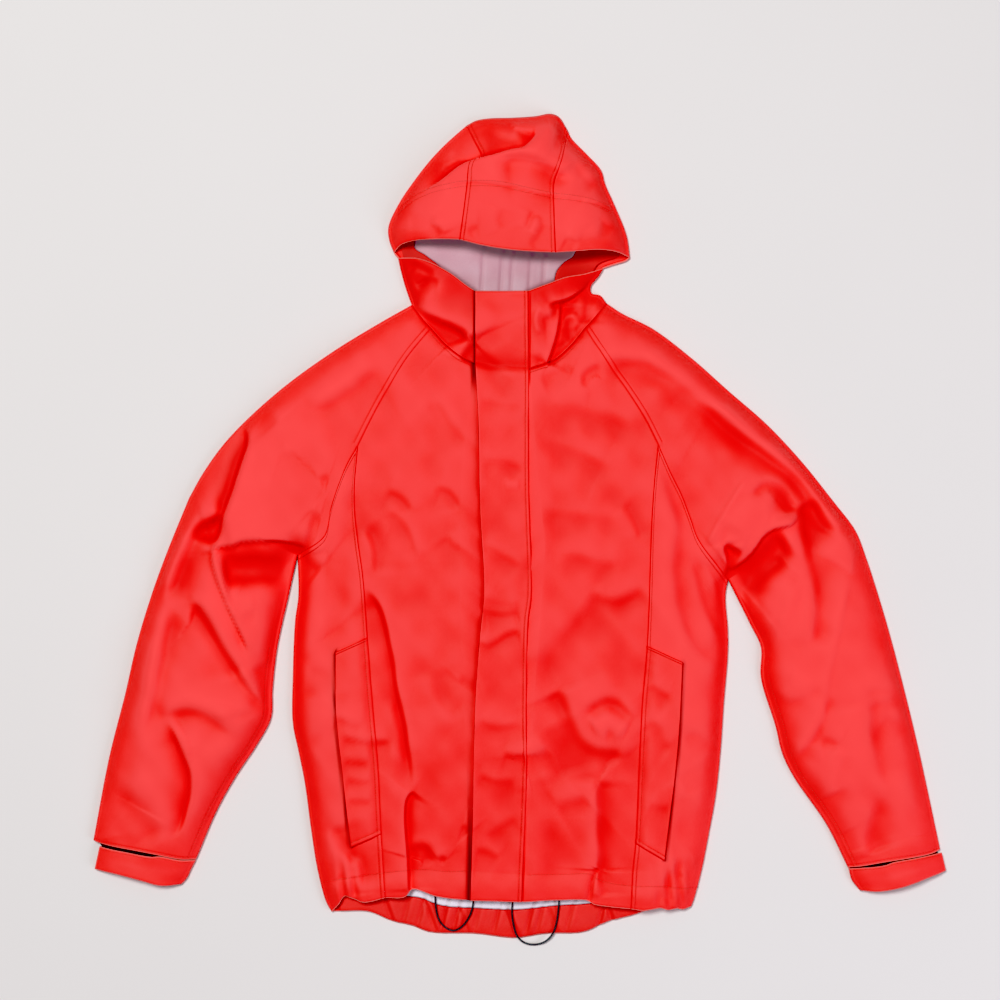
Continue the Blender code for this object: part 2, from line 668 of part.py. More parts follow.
def sheet(side, top, bottom, outer, inner, height, **edges):
    """A sheet given from its outer edge to its inner one, on either side of the coat."""
    names = {"outer": "left", "inner": "right"} if side == RIGHT else {"outer": "right", "inner": "left"}
    for kind in ("seams", "folds"):
        words = edges.get(kind, "").split()
        edges[kind] = " ".join(names.get(word, word) for word in words)
    if side == RIGHT:
        return Sheet(top, bottom, outer, inner, height, **edges)
    return Sheet(top[::-1], bottom[::-1], inner, outer, height, **edges)


def sleeve_sheets(curves):
    """The front and the back of a sleeve, joined along its outer fold and below the armpit."""
    side = curves.side
    outer = joined(curves.shoulder, curves.sleeve_outer)
    cuff = along(CUFF_EDGE[side], SLEEVE_NECK_STEPS)
    parts = []
    for turn, neck, raglan, height, steps in (
        (1, curves.neck_sleeve, joined(curves.raglan_upper, curves.raglan_lower), front_height, SLEEVE_FRONT_REFINED),
        (-1, curves.back_neck_sleeve, curves.raglan_back, back_height, 1),
    ):
        upper = len(raglan)
        made = sheet(
            side,
            with_fold(refined(neck, steps), first=True, last=True),
            with_fold(refined(cuff, steps), first=True, last=True),
            outer,
            joined(raglan, curves.sleeve_inner),
            height,
            turn=turn,
            seams="top",
            folds="outer",
        )
        column = -1 if side == RIGHT else 0
        draw_raglan(made, column, upper)
        made.points[upper - 1 :, column, 2] = FOLD
        made.normals[upper - 1 :, column, 2] = 0
        made.normals[:, column] /= np.linalg.norm(made.normals[:, column], axis=-1, keepdims=True)
        parts.append(made)
    front, back = parts
    column, outside = (-1, 0) if side == RIGHT else (0, -1)
    turn_corner(front, upper - 1, column, curves.raglan_back[::-1])
    turn_corner(front, 0, outside, curves.neck_sleeve)
    back.points[upper - 1 :, column] = front.points[upper - 1 :, column]
    back.normals[upper - 1 :, column] = front.normals[upper - 1 :, column]
    back.points[:, outside] = front.points[:, outside]
    back.normals[:, outside] = front.normals[:, outside]
    return parts


def turn_corner(made, row, column, seam):
    """Points the wall at a folded corner along the seam that starts there, so that it stays on its own side."""
    way = np.array([*(seam[1] - seam[0]), 0.0])
    made.normals[row, column] = -way / np.linalg.norm(way)


def draw_raglan(made, column, rows):
    """Draws a sleeve's raglan edge back from the seam, down to the armpit."""
    neighbour = column - 1 if column == -1 else column + 1
    line = made.points[:rows, column, :2]
    tangent = np.gradient(line, axis=0)
    across = np.column_stack([-tangent[:, 1], tangent[:, 0]])
    across /= np.linalg.norm(across, axis=1, keepdims=True)
    way = made.points[:rows, neighbour, :2] - line
    across *= np.sign((across * way).sum(axis=1))[:, None]
    made.points[:rows, column, :2] += across * SEAM_GAP / 2


def centre_front_sheets(curves):
    """A centre front, in two sheets that meet along the edge of the flap."""
    side = curves.side
    outer = joined(curves.raglan_upper, *curves.princess)
    beside = sheet(
        side,
        curves.neck_front,
        along(FRONT_HEM[side], NECK_STEPS),
        outer,
        curves.flap_edge,
        front_height,
        seams="top outer",
    )
    under = sheet(
        side,
        along([curves.flap_edge[0], curves.centre[0]], CENTRE_STEPS),
        along([curves.flap_edge[-1], curves.centre[-1]], CENTRE_STEPS),
        curves.flap_edge,
        curves.centre,
        front_height,
        seams="top inner",
    )
    match_edge(side, under, beside)
    return beside, under


def match_edge(side, inner, outer):
    """Gives two sheets of one piece the same points where they meet."""
    last, first = (-1, 0) if side == RIGHT else (0, -1)
    inner.points[:, first] = outer.points[:, last]
    inner.normals[:, first] = outer.normals[:, last]


def side_front_sheets(curves):
    """A side front: above the pocket, beside it, under the welt and below it."""
    side = curves.side
    free = along(WELT_FREE_EDGE[side], POCKET_STEPS)
    upper_left, middle_left, lower_left = curves.side_fold
    upper_right, middle_right, lower_right = curves.princess
    top_outer = with_fold(along([middle_left[0], free[0]], SIDE_COLUMNS), first=True)
    top_inner = along([free[0], middle_right[0]], POCKET_COLUMNS)
    low_outer = with_fold(along([middle_left[-1], free[-1]], SIDE_COLUMNS), first=True)
    low_inner = along([free[-1], middle_right[-1]], POCKET_COLUMNS)
    hem = with_fold(along(SIDE_HEM[side], SIDE_COLUMNS + POCKET_COLUMNS), first=True)
    common = {"height": front_height, "side_seam": SEAM_GAP / 2}
    above = sheet(
        side,
        with_fold(curves.raglan_lower[::-1], first=True),
        joined(top_outer, top_inner),
        upper_left,
        upper_right,
        seams="top inner",
        folds="outer",
        **common,
    )
    beside = sheet(side, top_outer, low_outer, middle_left, free, folds="outer", **common)
    under = sheet(side, top_inner, low_inner, free, middle_right, seams="inner", **common)
    below = sheet(
        side, joined(low_outer, low_inner), hem, lower_left, lower_right, seams="inner", folds="outer", **common
    )
    turn_corner(above, 0, 0 if side == RIGHT else -1, curves.raglan_lower[::-1])
    match_rows(side, above, beside, under, 0)
    match_rows(side, below, beside, under, -1)
    match_edge(side, under, beside)
    return above, beside, under, below


def match_rows(side, across, beside, under, row):
    """Gives the sheets beside and under the welt the points of the sheet above or below them."""
    source = across.points[-1 if row == 0 else 0], across.normals[-1 if row == 0 else 0]
    for target, kind in ((0, "points"), (1, "normals")):
        line = source[target] if side == RIGHT else source[target][::-1]
        for made, start in ((beside, 0), (under, beside.points.shape[1] - 1)):
            count = made.points.shape[1]
            part = line[start : start + count]
            getattr(made, kind)[row] = part if side == RIGHT else part[::-1]


def back_sheet(right, left):
    """The back, on the surface, with its edges turned up to meet the side fronts."""
    runs = [joined(curves.raglan_back, *curves.side_fold) for curves in (right, left)]
    neck = joined(right.back_neck_side, along(BACK_NECK_CENTRE, BACK_COLUMNS - 4), left.back_neck_side[::-1])
    made = Sheet(
        with_fold(neck, first=True, last=True),
        with_fold(along(BACK_HEM, BACK_COLUMNS), first=True, last=True),
        runs[0],
        runs[1],
        back_height,
        turn=-1,
        seams="top",
    )
    first_low = len(right.raglan_back) - 1
    for column, curves in ((0, right), (-1, left)):
        draw_raglan(made, column, first_low + 1)
        made.points[first_low:, column, 2] = FOLD - SEAM_GAP / 2
        made.normals[first_low:, column, 2] = 0
        made.normals[:, column] /= np.linalg.norm(made.normals[:, column], axis=-1, keepdims=True)
        turn_corner(made, first_low, column, curves.raglan_back[::-1])
    return made


def collar_sheets(curves):
    """A collar front, in two sheets that meet along the edge of the flap."""
    side = curves.side
    flap = along([COLLAR_EDGE[side][-1], curves.neck_front[-1]], COLLAR_STEPS)
    centre = along([(-22, 293), curves.centre[0]], COLLAR_STEPS)
    seam = with_fold(joined(curves.neck_sleeve, curves.neck_front), first=True)
    edge = with_fold(along(COLLAR_EDGE[side], SLEEVE_NECK_STEPS + NECK_STEPS), first=True)
    beside = sheet(side, edge, seam, curves.collar_fold, flap, front_height, seams="bottom", folds="outer")
    under = sheet(
        side,
        along([flap[0], centre[0]], CENTRE_STEPS),
        along([flap[-1], centre[-1]], CENTRE_STEPS),
        flap,
        centre,
        front_height,
        seams="bottom inner",
    )
    match_edge(side, under, beside)
    return beside, under


def hood_side_sheets(curves):
    """A hood side: its crown, its back and its collar front, joined along the folded edge."""
    side = curves.side
    brim = with_fold(along(BRIM_EDGE[side], 4), first=True)
    point = np.repeat(curves.hood_fold[:1], len(brim), axis=0)
    crown = sheet(
        side, point, brim, curves.hood_fold, curves.hood_seam, crown_height, seams="inner", folds="outer"
    )
    neck = with_fold(joined(curves.back_neck_sleeve, curves.back_neck_side), first=True)
    outer = joined(curves.hood_fold, curves.hood_corner, curves.collar_fold)
    back = sheet(
        side,
        np.repeat(outer[:1], len(neck), axis=0),
        neck,
        outer,
        curves.hood_back_seam,
        hood_back_height,
        turn=-1,
        seams="inner bottom",
        folds="outer",
    )
    beside, under = collar_sheets(curves)
    column = 0 if side == RIGHT else -1
    rows = len(curves.hood_fold)
    turn_corner(beside, -1, column, curves.back_neck_sleeve)
    back.points[:rows, column] = crown.points[:, column]
    back.normals[:rows, column] = crown.normals[:, column]
    back.points[-COLLAR_STEPS - 1 :, column] = beside.points[:, column]
    back.normals[-COLLAR_STEPS - 1 :, column] = beside.normals[:, column]
    for made in (crown, back):
        made.points[0] = crown.points[0, column]
        made.normals[0] = crown.normals[0, column]
    return crown, back, beside, under


def hood_centre_sheets(right, left):
    """The hood's centre strip: over the crown and down the back."""
    top = along(HOOD_TOP, STRIP_STEPS)
    seams = [with_fold(curves.hood_seam, first=True) for curves in (right, left)]
    crown = Sheet(top, along(BRIM_EDGE_CENTRE, STRIP_STEPS), *seams, crown_height, seams="left right", folds="top")
    seams = [with_fold(curves.hood_back_seam, first=True) for curves in (right, left)]
    back = Sheet(
        top,
        along(BACK_NECK_CENTRE, STRIP_STEPS),
        *seams,
        hood_back_height,
        turn=-1,
        seams="left right bottom",
        folds="top",
    )
    back.points[0], back.normals[0] = crown.points[0], crown.normals[0]
    return crown, back


def strap_sheets(side):
    """A cuff strap: over the sleeve's end, round its inner fold and back under it."""
    inner = along(STRAP_FOLD[side], 2)
    low = with_fold(along(STRAP_HEM[side], 6), last=True)
    sewn = smooth(CUFF_EDGE[side][2:]) - [0, 1.5 * SEAM_GAP]
    under_edge = np.vstack([STRAP_END[side][:1], sewn[:-1], inner[:1]])
    parts = []
    for turn, edge, end, height in (
        (1, STRAP_EDGE[side], STRAP_END[side], front_height),
        (-1, under_edge, [under_edge[0], STRAP_END[side][-1]], back_height),
    ):
        top = with_fold(along(edge, 6), last=True)
        parts.append(sheet(side, top, low, along(end, 2), inner, height, turn=turn, folds="inner"))
    column = -1 if side == RIGHT else 0
    parts[1].normals[:, column] = parts[0].normals[:, column]
    return parts


# ---------------------------------------------------------------- the coat


def flap_columns(collar, front):
    """The points of one side that lie under the flap, from the top of the collar to the hem."""
    points = np.vstack([collar.points[:-1], front.points])
    normals = np.vstack([collar.normals[:-1], front.normals])
    return points, normals


def build_body(right, left, coral):
    fronts = {}
    for curves in (right, left):
        fronts[curves.side] = centre_front_sheets(curves)
        cloth(f"centre_front_{curves.side}", faces_of(*fronts[curves.side]), coral)
        parts = side_front_sheets(curves)
        cloth(f"side_front_{curves.side}", faces_of(*parts), coral)
        welt = beyond(faces_of(parts[2]), SEAM_GAP + FLAP_WALL)
        cloth(f"pocket_welt_{curves.side}", welt, coral, FLAP_WALL)
        cloth(f"sleeve_{curves.side}", faces_of(*sleeve_sheets(curves)), coral)
        cloth(f"cuff_strap_{curves.side}", faces_of(*strap_sheets(curves.side)), coral)
    cloth("back_panel", faces_of(back_sheet(right, left)), coral)
    return fronts


def build_hood(right, left, coral, deep, grey):
    collars = {}
    for curves in (right, left):
        parts = hood_side_sheets(curves)
        collars[curves.side] = parts[3]
        cloth(f"hood_side_{curves.side}", faces_of(*parts), coral)
        inner = along(LINING_SIDE[curves.side], LINING_STEPS)[1:-1]
        outer = along(FACING_FOLD[curves.side], LINING_STEPS - 2)
        top, low = along([outer[0], inner[0]], 2), along([outer[-1], inner[-1]], 2)
        facing = sheet(curves.side, top, low, outer, inner, level(WALL + SEAM_GAP + WALL), seams="inner")
        cloth(f"hood_facing_{curves.side}", faces_of(facing), deep)
    cloth("hood_centre", faces_of(*hood_centre_sheets(right, left)), coral)
    sides = [along(LINING_SIDE[side], LINING_STEPS) for side in (RIGHT, LEFT)]
    lining = Sheet(
        along([sides[0][0], sides[1][0]], 4),
        along([sides[0][-1], sides[1][-1]], 4),
        *sides,
        level(WALL + SEAM_GAP + WALL),
        seams="left right",
    )
    cloth("hood_lining", faces_of(lining), grey)
    return collars


def build_closure(collars, fronts, coral, deep):
    """The storm flap on the fronts and collar, and the zip tape under them, from the points that they cover."""
    halves = [flap_columns(collars[side], fronts[side][1]) for side in (RIGHT, LEFT)]
    points = np.concatenate([half[0] for half in halves], axis=1)
    normals = np.concatenate([half[1] for half in halves], axis=1)
    cloth("storm_flap", beyond([(points, normals)], SEAM_GAP + FLAP_WALL), coral, FLAP_WALL)
    middle = np.s_[:, CENTRE_STEPS - 1 : -CENTRE_STEPS + 1]
    tape = beyond([(points[middle], normals[middle])], -WALL - SEAM_GAP)
    cloth("front_zip", tape, deep, ZIP_WALL)


def build_hem(deep, grey):
    """The gathered casing inside the back hem and the edge of the lining sewn to it."""
    seam = along(CASING_SEAM, HEM_WAVE_COLUMNS)
    low = along(CASING_HEM, HEM_WAVE_COLUMNS)
    high = along(LINING_TOP, HEM_WAVE_COLUMNS)
    ends = [along([seam[k], low[k]], 3) for k in (0, -1)]
    casing = Sheet(seam, low, *ends, casing_height, seams="top")
    cloth("back_hem_casing", faces_of(casing), deep)
    ends = [along([high[k], seam[k]], 2) for k in (0, -1)]
    lining = Sheet(high, seam, *ends, casing_height, seams="bottom")
    cloth("back_lining", faces_of(lining), grey)


HEM_CORDS = {
    "hem_cord_right": [(-106, -452, 12.0), (-106, -466, 10.4), (-105, -480, 8.4), (-101, -494, 7.6), (-92, -504, 6.6),
                       (-83, -507, 6.2), (-74, -503, 6.8), (-65, -492, 7.8), (-60, -480, 8.4), (-58, -466, 10.4),
                       (-57, -452, 12.0)],
    "hem_cord_left": [(-9, -454, 12.0), (-9, -468, 10.4), (-10, -484, 8.4), (-8, -500, 7.8), (-4, -513, 6.6),
                      (3, -521, 4.4), (12, -525, 2.0), (22, -525, 1.9), (32, -521, 4.2), (41, -511, 6.8),
                      (46, -496, 7.8), (48, -482, 8.4), (49, -468, 10.4), (49, -454, 12.0)],
}


def main():
    for thing in list(bpy.data.objects):
        bpy.data.objects.remove(thing, do_unlink=True)
    coral = material("coated_coral", CORAL, 0.62)
    deep = material("inner_red", DEEP_RED, 0.65)
    grey = material("lining_grey", LINING_GREY, 0.55)
    black = material("cord_black", CORD_BLACK, 0.7)
    right, left = SideCurves(RIGHT), SideCurves(LEFT)
    fronts = build_body(right, left, coral)
    collars = build_hood(right, left, coral, deep, grey)
    build_closure(collars, fronts, coral, deep)
    build_hem(deep, grey)
    for name, route in HEM_CORDS.items():
        cord(name, route, black)


if __name__ == "__main__":
    main()
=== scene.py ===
"""Dresses a hooded raincoat that lies flat on its back, front upwards, with its sleeves down at its sides.

+X runs to the wearer's left, +Y towards the hood and +Z up from the surface. Sizes and tables are in millimetres, and
the meshes are written in metres. "Right" and "left" are the wearer's.
"""

from __future__ import annotations

import logging
import math
from collections.abc import Callable, Sequence
from dataclasses import dataclass, field
from enum import Enum

import bmesh
import bpy
import numpy as np
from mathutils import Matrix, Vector

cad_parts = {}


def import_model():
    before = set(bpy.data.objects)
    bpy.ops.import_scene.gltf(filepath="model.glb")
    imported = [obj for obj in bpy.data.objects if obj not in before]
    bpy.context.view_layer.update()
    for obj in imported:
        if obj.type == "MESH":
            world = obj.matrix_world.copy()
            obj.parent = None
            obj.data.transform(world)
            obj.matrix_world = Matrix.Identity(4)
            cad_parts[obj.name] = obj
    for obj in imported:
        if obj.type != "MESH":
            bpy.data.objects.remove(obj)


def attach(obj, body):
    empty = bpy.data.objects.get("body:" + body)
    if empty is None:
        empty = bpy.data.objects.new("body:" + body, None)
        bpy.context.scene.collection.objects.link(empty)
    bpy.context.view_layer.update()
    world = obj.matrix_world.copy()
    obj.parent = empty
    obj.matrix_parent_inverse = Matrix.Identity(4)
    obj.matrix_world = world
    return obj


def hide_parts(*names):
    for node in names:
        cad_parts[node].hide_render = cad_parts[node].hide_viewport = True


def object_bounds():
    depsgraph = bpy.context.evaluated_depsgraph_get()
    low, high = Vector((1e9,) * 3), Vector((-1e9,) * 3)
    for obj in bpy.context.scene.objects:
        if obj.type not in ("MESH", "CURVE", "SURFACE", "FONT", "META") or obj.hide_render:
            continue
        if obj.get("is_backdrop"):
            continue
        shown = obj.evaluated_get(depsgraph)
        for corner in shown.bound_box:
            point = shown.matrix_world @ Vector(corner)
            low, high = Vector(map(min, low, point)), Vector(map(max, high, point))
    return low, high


LOG = logging.getLogger("raincoat")
METRE = 0.001
BODY = "root"
# the height of the turn of a folded edge, a distance past every edge, and the top of the closed collar
FOLD = 4.0
FAR = 99.0
COLLAR_TOP = 293.0
GOLDEN_ANGLE = 2.399963
THREAD_LIFT = 0.3
# the marks that the shader reads: rim_mm gives a painted highlight, shade a painted shade, and hollow painted shade
# in hollow places with painted light on rises
MARKS = ("seam_mm", "line_mm", "rim_mm", "shade", "hollow")
Curve = Sequence[tuple[float, ...]]
Pair = tuple[float, float]
Height = Callable[[np.ndarray], np.ndarray]


class Side(Enum):
    """One side of the coat, as its wearer has it."""

    RIGHT = "right"
    LEFT = "left"

    @property
    def outward(self) -> int:
        """The sign of X away from the body."""
        return -1 if self is Side.RIGHT else 1

    @property
    def outer(self) -> str:
        """The edge of a sheet's grid that lies away from the body's middle."""
        return "left" if self is Side.RIGHT else "right"

    @property
    def inner(self) -> str:
        """The edge of a sheet's grid that lies towards the body's middle."""
        return "right" if self is Side.RIGHT else "left"


@dataclass(frozen=True)
class Fold:
    """A crease in the cloth along a path.

    Each side of the path, by the path's way, has the height that the cloth takes beside the line and the distance
    over which it comes back. Equal heights make a ridge or a trough, and unequal ones a lip that stands over what
    lies beside it. A power of 1 gives a sharp line and 2 a round one.
    """

    path: Curve
    left: Pair
    right: Pair
    power: float = 1.0
    blur: float = 1.2
    ends: Pair = (0.15, 0.15)

    def profile(self, away: np.ndarray) -> np.ndarray:
        """The height across the fold, at signed distances that are positive on the left."""
        share = 0.5 + 0.5 * np.tanh(away / self.blur)
        distance = np.sqrt(away**2 + self.blur**2) - self.blur
        sides = [height * np.exp(-((distance / reach) ** self.power)) for height, reach in (self.left, self.right)]
        return share * sides[0] + (1 - share) * sides[1]

    def lift(self, points: np.ndarray) -> np.ndarray:
        """The height that the fold adds at each point."""
        lift = np.zeros(len(points))
        run = smooth(self.path, 6)
        margin = (3.2 if self.power < 1.5 else 2.2) * max(self.left[1], self.right[1])
        near = np.all((points > run.min(0) - margin) & (points < run.max(0) + margin), axis=1)
        if near.any():
            place = Nearest.to(points[near], run)
            first, last = self.ends
            taper = ramp(place.share, -0.01, first) * ramp(1 - place.share, -0.01, last)
            lift[near] = taper * self.profile(place.distance * place.left)
        return lift


def trough(depth: float, reach: float, path: Curve, power: float = 1.6, ends: Pair = (0.2, 0.2)) -> Fold:
    """A soft hollow with both its sides alike."""
    return Fold(path, (-depth, reach), (-depth, reach), power, 2.0, ends)


def crease(depth: float, reach: float, path: Curve, ends: Pair = (0.2, 0.2)) -> Fold:
    """A crease whose upper left side is high and whose lower right side is low, each going back slowly."""
    (x0, y0), (x1, y1) = path[0], path[-1]
    sides = [(0.55 * depth, 2.4 * reach + 4), (-0.7 * depth, 2.8 * reach + 5)]
    if 0.83 * (x1 - x0) + 0.55 * (y1 - y0) < 0:
        sides.reverse()
    return Fold(path, *sides, 1.1, 0.85 * reach + 0.8, ends)


@dataclass(frozen=True)
class SidePattern:
    """The edges and seams of one side of the coat, each a run of (x, y)."""

    side: Side
    collar_fold: Curve
    hood_corner: Curve
    hood_fold: Curve
    hood_seam: Curve
    hood_back_seam: Curve
    brim_edge: Curve
    collar_edge: Curve
    neck_sleeve: Curve
    neck_front: Curve
    back_neck_sleeve: Curve
    back_neck_side: Curve
    raglan_upper: Curve
    raglan_lower: Curve
    raglan_back: Curve
    shoulder_fold: Curve
    sleeve_fold: Curve
    underarm_fold: Curve
    cuff_edge: Curve
    strap_edge: Curve
    strap_fold: Curve
    strap_hem: Curve
    strap_end: Curve
    side_fold: Curve
    princess: Curve
    flap_edge: Curve
    front_hem: Curve
    side_hem: Curve
    welt_free_edge: Curve
    welt_seam_ends: Curve
    lining_side: Curve
    facing_fold: Curve


RIGHT_PATTERN = SidePattern(
    side=Side.RIGHT,
    collar_fold=[(-153, 336), (-150, 322), (-144, 300), (-136, 277)],
    hood_corner=[(-158, 342), (-156, 339), (-153, 336)],
    hood_fold=[(-67, 502), (-92, 480), (-113, 458), (-134, 431), (-152, 404), (-165, 375), (-164, 358), (-158, 342)],
    hood_seam=[(-67, 502), (-57, 480), (-48.5, 461), (-51, 456.5), (-61, 453.5), (-64, 447), (-66, 425), (-70, 392),
        (-75, 355)],
    hood_back_seam=[(-67, 502), (-52, 430), (-45, 345), (-42, 268)],
    brim_edge=[(-158, 342), (-150, 350), (-131, 355), (-104, 356), (-75, 355)],
    collar_edge=[(-153, 336), (-128, 334), (-108, 327), (-85, 314), (-68, 301), (-56, 293)],
    neck_sleeve=[(-136, 277), (-124, 261), (-111, 247)],
    neck_front=[(-111, 247), (-92, 226), (-73, 211), (-56, 203)],
    back_neck_sleeve=[(-136, 277), (-116, 273), (-95, 271)],
    back_neck_side=[(-95, 271), (-68, 269), (-42, 268)],
    raglan_upper=[(-111, 247), (-140, 211), (-159, 181), (-180, 144), (-202, 100)],
    raglan_lower=[(-202, 100), (-213, 81), (-224, 55), (-235, 22), (-243, -12), (-279, -37)],
    raglan_back=[(-95, 271), (-132, 205), (-180, 115), (-228, 30), (-279, -37)],
    shoulder_fold=[(-136, 277), (-175, 255), (-237, 217), (-305, 167), (-366, 109), (-397, 67), (-415, 35)],
    sleeve_fold=[(-415, 35), (-440, -26), (-461, -83), (-481, -149), (-495, -210), (-515, -289), (-535, -394)],
    underarm_fold=[(-279, -37), (-290, -88), (-304, -152), (-310, -205), (-312, -241), (-330, -275), (-356, -314),
        (-380, -357), (-406, -418)],
    cuff_edge=[(-535, -394), (-527, -397), (-457, -410), (-425, -417), (-406, -418)],
    strap_edge=[(-527, -401.5), (-494, -407.3), (-461, -413), (-450, -412.6), (-426, -417.9), (-406.5, -419)],
    strap_fold=[(-406.5, -419.5), (-413, -432), (-417, -441), (-424, -449)],
    strap_hem=[(-533, -430), (-505, -435), (-477, -442), (-453, -449), (-443, -450), (-424, -449)],
    strap_end=[(-527, -402), (-533, -430)],
    side_fold=[(-279, -37), (-278, -88), (-282, -118), (-285, -190), (-285, -247), (-278, -282), (-270, -322),
        (-262, -381), (-254, -431), (-243, -472), (-236, -484)],
    princess=[(-202, 100), (-206, 49), (-206, 22), (-202, -19), (-196, -60), (-190, -139), (-184, -216), (-177, -297),
        (-173, -384), (-171, -420), (-168, -464)],
    flap_edge=[(-56, 203), (-52, 130), (-50, 22), (-45, -80), (-50, -135), (-55, -201), (-58, -285), (-59, -352),
        (-62, -467)],
    front_hem=[(-168, -464), (-144, -463), (-134, -453), (-105, -462), (-85, -465), (-62, -467)],
    side_hem=[(-236, -484), (-227, -474), (-219, -463), (-210, -465), (-195, -470), (-168, -464)],
    welt_free_edge=[(-230, -157), (-229, -235), (-221, -312), (-211, -401)],
    welt_seam_ends=[(-190, -139), (-173, -384)],
    lining_side=[(-92, 430), (-133, 351), (-118, 339), (-99, 322), (-98, 290), (-90, 276)],
    facing_fold=[(-136, 410), (-150, 370), (-148, 345), (-142, 325), (-130, 290)],
)

LEFT_PATTERN = SidePattern(
    side=Side.LEFT,
    collar_fold=[(105, 323), (99, 313), (89, 300), (90, 292), (101, 289), (109, 279)],
    hood_corner=[(138, 336), (133, 332), (120, 328), (105, 323)],
    hood_fold=[(60, 496), (64, 487), (84, 466), (102, 446), (107, 429), (119, 402), (134, 364), (138, 336)],
    hood_seam=[(60, 496), (52, 456), (42, 425), (42, 396), (44, 339)],
    hood_back_seam=[(60, 496), (55, 430), (50, 345), (45, 268)],
    brim_edge=[(138, 336), (124, 341), (98, 343), (72, 341), (44, 339)],
    collar_edge=[(105, 323), (81, 315), (56, 310), (37, 303), (10, 293)],
    neck_sleeve=[(109, 279), (95, 262), (81, 247)],
    neck_front=[(81, 247), (62, 224), (42, 207), (11, 196)],
    back_neck_sleeve=[(109, 279), (88, 274), (67, 271)],
    back_neck_side=[(67, 271), (56, 269), (45, 268)],
    raglan_upper=[(81, 247), (110, 202), (131, 172), (154, 136), (172, 101)],
    raglan_lower=[(172, 101), (186, 69), (201, 39), (212, 10), (222, -17), (261, -68)],
    raglan_back=[(67, 271), (108, 196), (156, 104), (205, 12), (261, -68)],
    shoulder_fold=[(109, 279), (129, 266), (167, 247), (217, 209), (262, 169), (310, 127), (354, 80), (394, 30)],
    sleeve_fold=[(394, 30), (421, -6), (435, -42), (449, -85), (464, -136), (485, -217), (501, -284), (527, -405)],
    underarm_fold=[(261, -68), (289, -124), (302, -152), (302, -190), (320, -250), (329, -286), (344, -316),
        (384, -374), (411, -428)],
    cuff_edge=[(527, -405), (518, -409), (460, -419), (425, -426), (411, -428)],
    strap_edge=[(529, -409), (518, -410.6), (490, -415.4), (466, -419.6), (456, -423.4), (440, -426.2), (428, -427.4),
        (412, -429.4)],
    strap_fold=[(412, -430), (416, -444), (426, -457)],
    strap_hem=[(534, -432), (510, -440), (478, -451), (450, -457), (426, -457)],
    strap_end=[(529, -411), (534, -432)],
    side_fold=[(261, -68), (258, -88), (261, -130), (261, -160), (256, -221), (252, -279), (246, -336), (237, -386),
        (229, -427), (219, -466), (215, -477)],
    princess=[(172, 101), (167, 55), (164, 12), (162, -42), (160, -106), (158, -149), (152, -221), (149, -279),
        (144, -396), (141, -425), (138, -478)],
    flap_edge=[(11, 196), (11, 49), (14, -86), (10, -118), (8, -219), (8, -319), (4, -419), (2, -469)],
    front_hem=[(138, -478), (109, -475), (92, -472), (84, -467), (45, -467), (2, -469)],
    side_hem=[(215, -477), (203, -480), (196, -478), (186, -480), (176, -477), (154, -480), (138, -478)],
    welt_free_edge=[(202, -169), (199, -234), (195, -290), (180, -417)],
    welt_seam_ends=[(158, -149), (144, -396)],
    lining_side=[(78, 430), (68, 340), (56, 331), (46, 319), (43, 300), (42, 276)],
    facing_fold=[(100, 420), (122, 365), (126, 341), (98, 328), (88, 310)],
)


@dataclass(frozen=True)
class CentrePattern:
    """The edges and lines along the middle of the coat, each a run of (x, y)."""

    hood_top: Curve = ((-67, 502), (-56, 508), (-40, 511), (-9, 512), (20, 514), (38, 517), (49, 513), (60, 496))
    brim_edge: Curve = ((-75, 355), (-43, 347), (-10, 342), (18, 340), (44, 339))
    brim_tuck: Curve = ((-158, 386), (-150, 396), (-134, 408), (-112, 417), (-90, 421.6), (-70, 424.6), (-46, 425),
        (-20, 423), (11, 416), (42, 410), (70, 407), (92, 403), (111, 396), (121, 390))
    back_neck: Curve = ((-42, 268), (1, 266), (45, 268))
    front: Curve = ((-20, 197), (-20, 22), (-16, -80), (-22, -201), (-25, -300), (-30, -468))
    back_hem: Curve = ((-236, -484), (-190, -484), (-161, -496), (-135, -502), (-114, -510), (-56, -512),
        (-6, -517.5), (32, -512), (80, -510), (109, -497), (141, -489), (170, -480), (215, -477))
    casing_seam: Curve = ((-226, -454), (-180, -459), (-144, -464), (-126, -466), (-98, -476), (-58, -479),
        (-4, -481), (45, -476), (89, -473), (140, -462), (205, -452))
    casing_hem: Curve = ((-226, -483), (-190, -483.6), (-161, -495), (-135, -501), (-114, -509), (-56, -511),
        (-6, -516.5), (32, -511), (80, -509), (109, -496.4), (141, -488), (170, -479), (205, -476.6))
    lining_top: Curve = ((-226, -400), (-100, -410), (0, -412), (100, -410), (205, -400))
    hem_line_right: Curve = ((-248, -446), (-219, -440), (-185, -435), (-150, -430), (-112, -429), (-92, -431),
        (-64, -430))
    hem_line_left: Curve = ((10, -435), (60, -434), (87, -434), (100, -442), (138, -449), (179, -450), (202, -453),
        (224, -453))


CENTRE = CentrePattern()


# ---------------------------------------------------------------- runs of points


